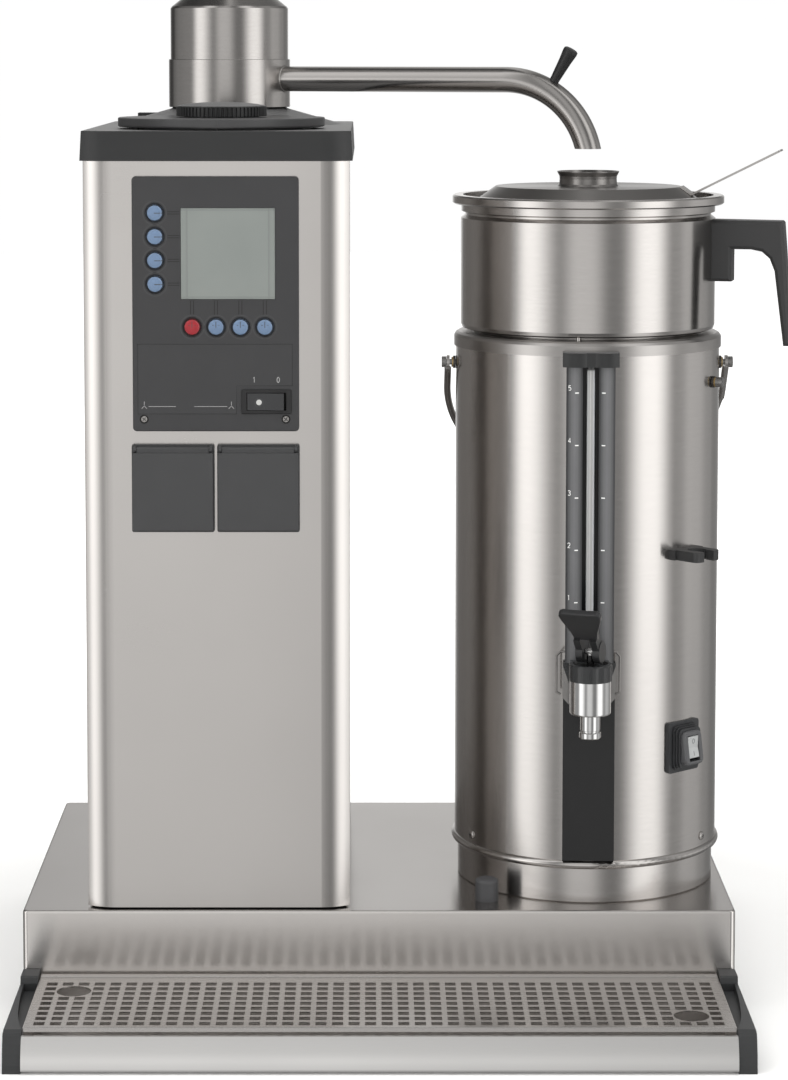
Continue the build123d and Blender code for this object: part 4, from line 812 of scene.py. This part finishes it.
for k, (bx, bz) in enumerate(BUTTONS, 1):
    face = lambda u, v, w, bx=bx, bz=bz: P(bx + u, -dome(sqrt(u * u + v * v)) - w, bz + v)
    bm = bmesh.new()
    # near-black ring at the button's edge: painted shade of the gap round the button
    ring(bm, 0, 0, 6.13, 6.13, 0.50, face, -0.05, 0.04, 40)
    solid("button_rim_%d" % k, bm, "button_%d" % k, "recess")
    bm = bmesh.new()
    if k <= 4:
        stroke(bm, [Vector((u, -0.12)) for u in (-0.4, 0.8, 2.0, 3.0, 4.0, 4.8, 5.55)], 0.62, face, -0.05, 0.04)
    else:
        stroke(bm, [Vector((0.0, v)) for v in (-0.4, 1.2, 2.4, 3.4, 4.3)], 0.55, face, -0.05, 0.04)
        for sx in (-1, 1):
            stroke(bm, [Vector((sx * 2.1 - 0.6, 1.5)), Vector((sx * 2.1 + 0.6, 1.5))], 0.55, face, -0.05, 0.04)
    solid("button_mark_%d" % k, bm, "button_%d" % k, "ink")
bm = bmesh.new()
for bx, bz in BUTTONS:
    f = lambda u, v, w, bx=bx, bz=bz: front(bx + u, bz + v, w)
    ring(bm, 0, 0, 9.1, 9.1, 0.30, f, -0.1, 0.05, 48)
solid("button_halo", bm, "base", "halo")
bm = bmesh.new()
for bx, bz in BUTTONS[:4]:
    for d in (-0.85, 0.85):
        plate(bm, [(bx + 9.3, bz + d - 0.30), (-149.2, bz + d - 0.30), (-149.2, bz + d + 0.30), (bx + 9.3, bz + d + 0.30)], front, -0.30, 0.02)
for bx, bz in BUTTONS[4:]:
    for d in (-1.15, 1.15):
        plate(bm, [(bx + d - 0.30, bz + 9.3), (bx + d + 0.30, bz + 9.3), (bx + d + 0.30, 546.1), (bx + d - 0.30, 546.1)], front, -0.30, 0.02)
solid("panel_grooves", bm, "base", "recess")

# --- panel screws: cross recess in shadow, countersink ring painted dark as its shade ---
bm = bmesh.new()
for sx, sz, ang in ((-176.5, 456.4, 37.0), (-70.1, 456.4, 53.0)):
    t = radians(ang)
    for j in range(4):
        d, nn = Vector((cos(t + j * pi / 2), sin(t + j * pi / 2))), Vector((-sin(t + j * pi / 2), cos(t + j * pi / 2)))
        o_ = Vector((sx, sz))
        plate(bm, [tuple(o_ + d * 0.33 - nn * 0.32), tuple(o_ + d * 1.75 - nn * 0.32), tuple(o_ + d * 1.75 + nn * 0.32), tuple(o_ + d * 0.33 + nn * 0.32)],
              front, -0.8, 0.03)
solid("panel_screw_cross", bm, "base", "recess")
bm = bmesh.new()
# dark ring: painted shade in the countersink round each screw
for sx, sz in ((-176.5, 456.4), (-70.1, 456.4)):
    ring(bm, sx, sz, 3.45, 3.45, 0.62, front, -0.3, 0.02, 36)
solid("panel_screw_ring", bm, "base", "recess")

# --- mains rocker: indicator dot in a fine ring ----------------------------
RK_A = radians(-4.0)


def on_rocker(u, v, w):
    k = abs(u)
    y = -(8.7 + k / 13.6 * 1.2) - w
    return P(-84.65 + u * cos(RK_A) - y * sin(RK_A), -92.0 + u * sin(RK_A) + y * cos(RK_A), v)


bm = bmesh.new()
plate(bm, [(-4.95 + 2.1 * cos(2 * pi * k / 32), 469.3 + 2.1 * sin(2 * pi * k / 32)) for k in range(32)], on_rocker, -0.3, 0.25)
solid("rocker_lamp", bm, "panel_rocker", "lamp")
bm = bmesh.new()
ring(bm, -4.95, 469.3, 3.3, 3.3, 0.25, on_rocker, -0.2, 0.06)
solid("rocker_ring", bm, "panel_rocker", "halo")

# --- container switch: O and I ---------------------------------------------
SW_T, SW_AZ, SW_Y, SW_Z = radians(-5.0), 42.5, -107.0, 197.6


def on_urn_rocker(u, v, w):
    y, z = -7.6 - abs(v) / 8.0 * 1.0 - w, v
    y, z = y * cos(SW_T) - z * sin(SW_T), y * sin(SW_T) + z * cos(SW_T)
    return C(u, SW_Y + y, SW_Z + z, SW_AZ)


bm = bmesh.new()
ring(bm, 0.3, 4.6, 1.5, 1.9, 0.40, on_urn_rocker, -0.15, 0.05)
plate(bm, [(0.1, -6.6), (0.55, -6.6), (0.55, -3.2), (0.1, -3.2)], on_urn_rocker, -0.15, 0.05)
solid("urn_rocker_marks", bm, "urn_rocker", "ink")

# --- small screws just above the container's bead --------------------------


def on_drum(az, z0):
    return lambda u, v, w: C(u, -103.45 - w, z0 + v, az)


for k, (az_s, z_s) in enumerate(((-62.0, 120.7), (57.6, 121.5), (176.0, 121.1))):
    f = on_drum(az_s, z_s)
    bm = bmesh.new()
    prof = [(3.4, -0.3), (3.4, 0.5), (3.1, 1.0), (2.3, 1.45), (1.2, 1.65)]
    nseg = 24
    rings = [[bm.verts.new(f(r * cos(2 * pi * j / nseg), r * sin(2 * pi * j / nseg), w)) for j in range(nseg)] for r, w in prof]
    for r, q in zip(rings[:-1], rings[1:]):
        for j in range(nseg):
            bm.faces.new((r[j], r[(j + 1) % nseg], q[(j + 1) % nseg], q[j]))
    bm.faces.new(rings[-1])
    bm.faces.new(list(reversed(rings[0])))
    solid("drum_screw_%d" % (k + 1), bm, "container", "wire", True)
    # cross recess painted near-black: painted shade
    bm = bmesh.new()
    for t in (0.35, 0.35 + pi / 2):
        d, n = Vector((cos(t), sin(t))) * 1.55, Vector((-sin(t), cos(t))) * 0.28
        plate(bm, [tuple(-d - n), tuple(d - n), tuple(d + n), tuple(-d + n)], f, 1.2, 1.69)
    solid("drum_screw_cross_%d" % (k + 1), bm, "container", "recess")

# --- weld where the water arm enters the swivel head ------------------------
ARM = radians(-21.7)
bm = bmesh.new()
n1, n2 = 64, 10
loops = []
for j in range(n1):
    t = 2 * pi * j / n1
    y, z = 10.15 * cos(t), 10.15 * sin(t)
    x = sqrt(49.5 ** 2 - y * y)
    nrm = Vector((0.75, cos(t) * 0.66, sin(t) * 0.66)).normalized()
    side = Vector((-0.66, cos(t) * 0.75, sin(t) * 0.75)).normalized()
    lp = []
    for i in range(n2):
        a = 2 * pi * i / n2
        q = Vector((x, y, z)) + nrm * (0.95 * cos(a)) + side * (0.95 * sin(a))
        lp.append(bm.verts.new(P(-121.8 + q.x * cos(ARM) - q.y * sin(ARM), 135.0 + q.x * sin(ARM) + q.y * cos(ARM), 709.3 + q.z)))
    loops.append(lp)
for j in range(n1):
    for i in range(n2):
        bm.faces.new((loops[j][i], loops[(j + 1) % n1][i], loops[(j + 1) % n1][(i + 1) % n2], loops[j][(i + 1) % n2]))
solid("arm_weld", bm, "swivel_arm", "tube", True)
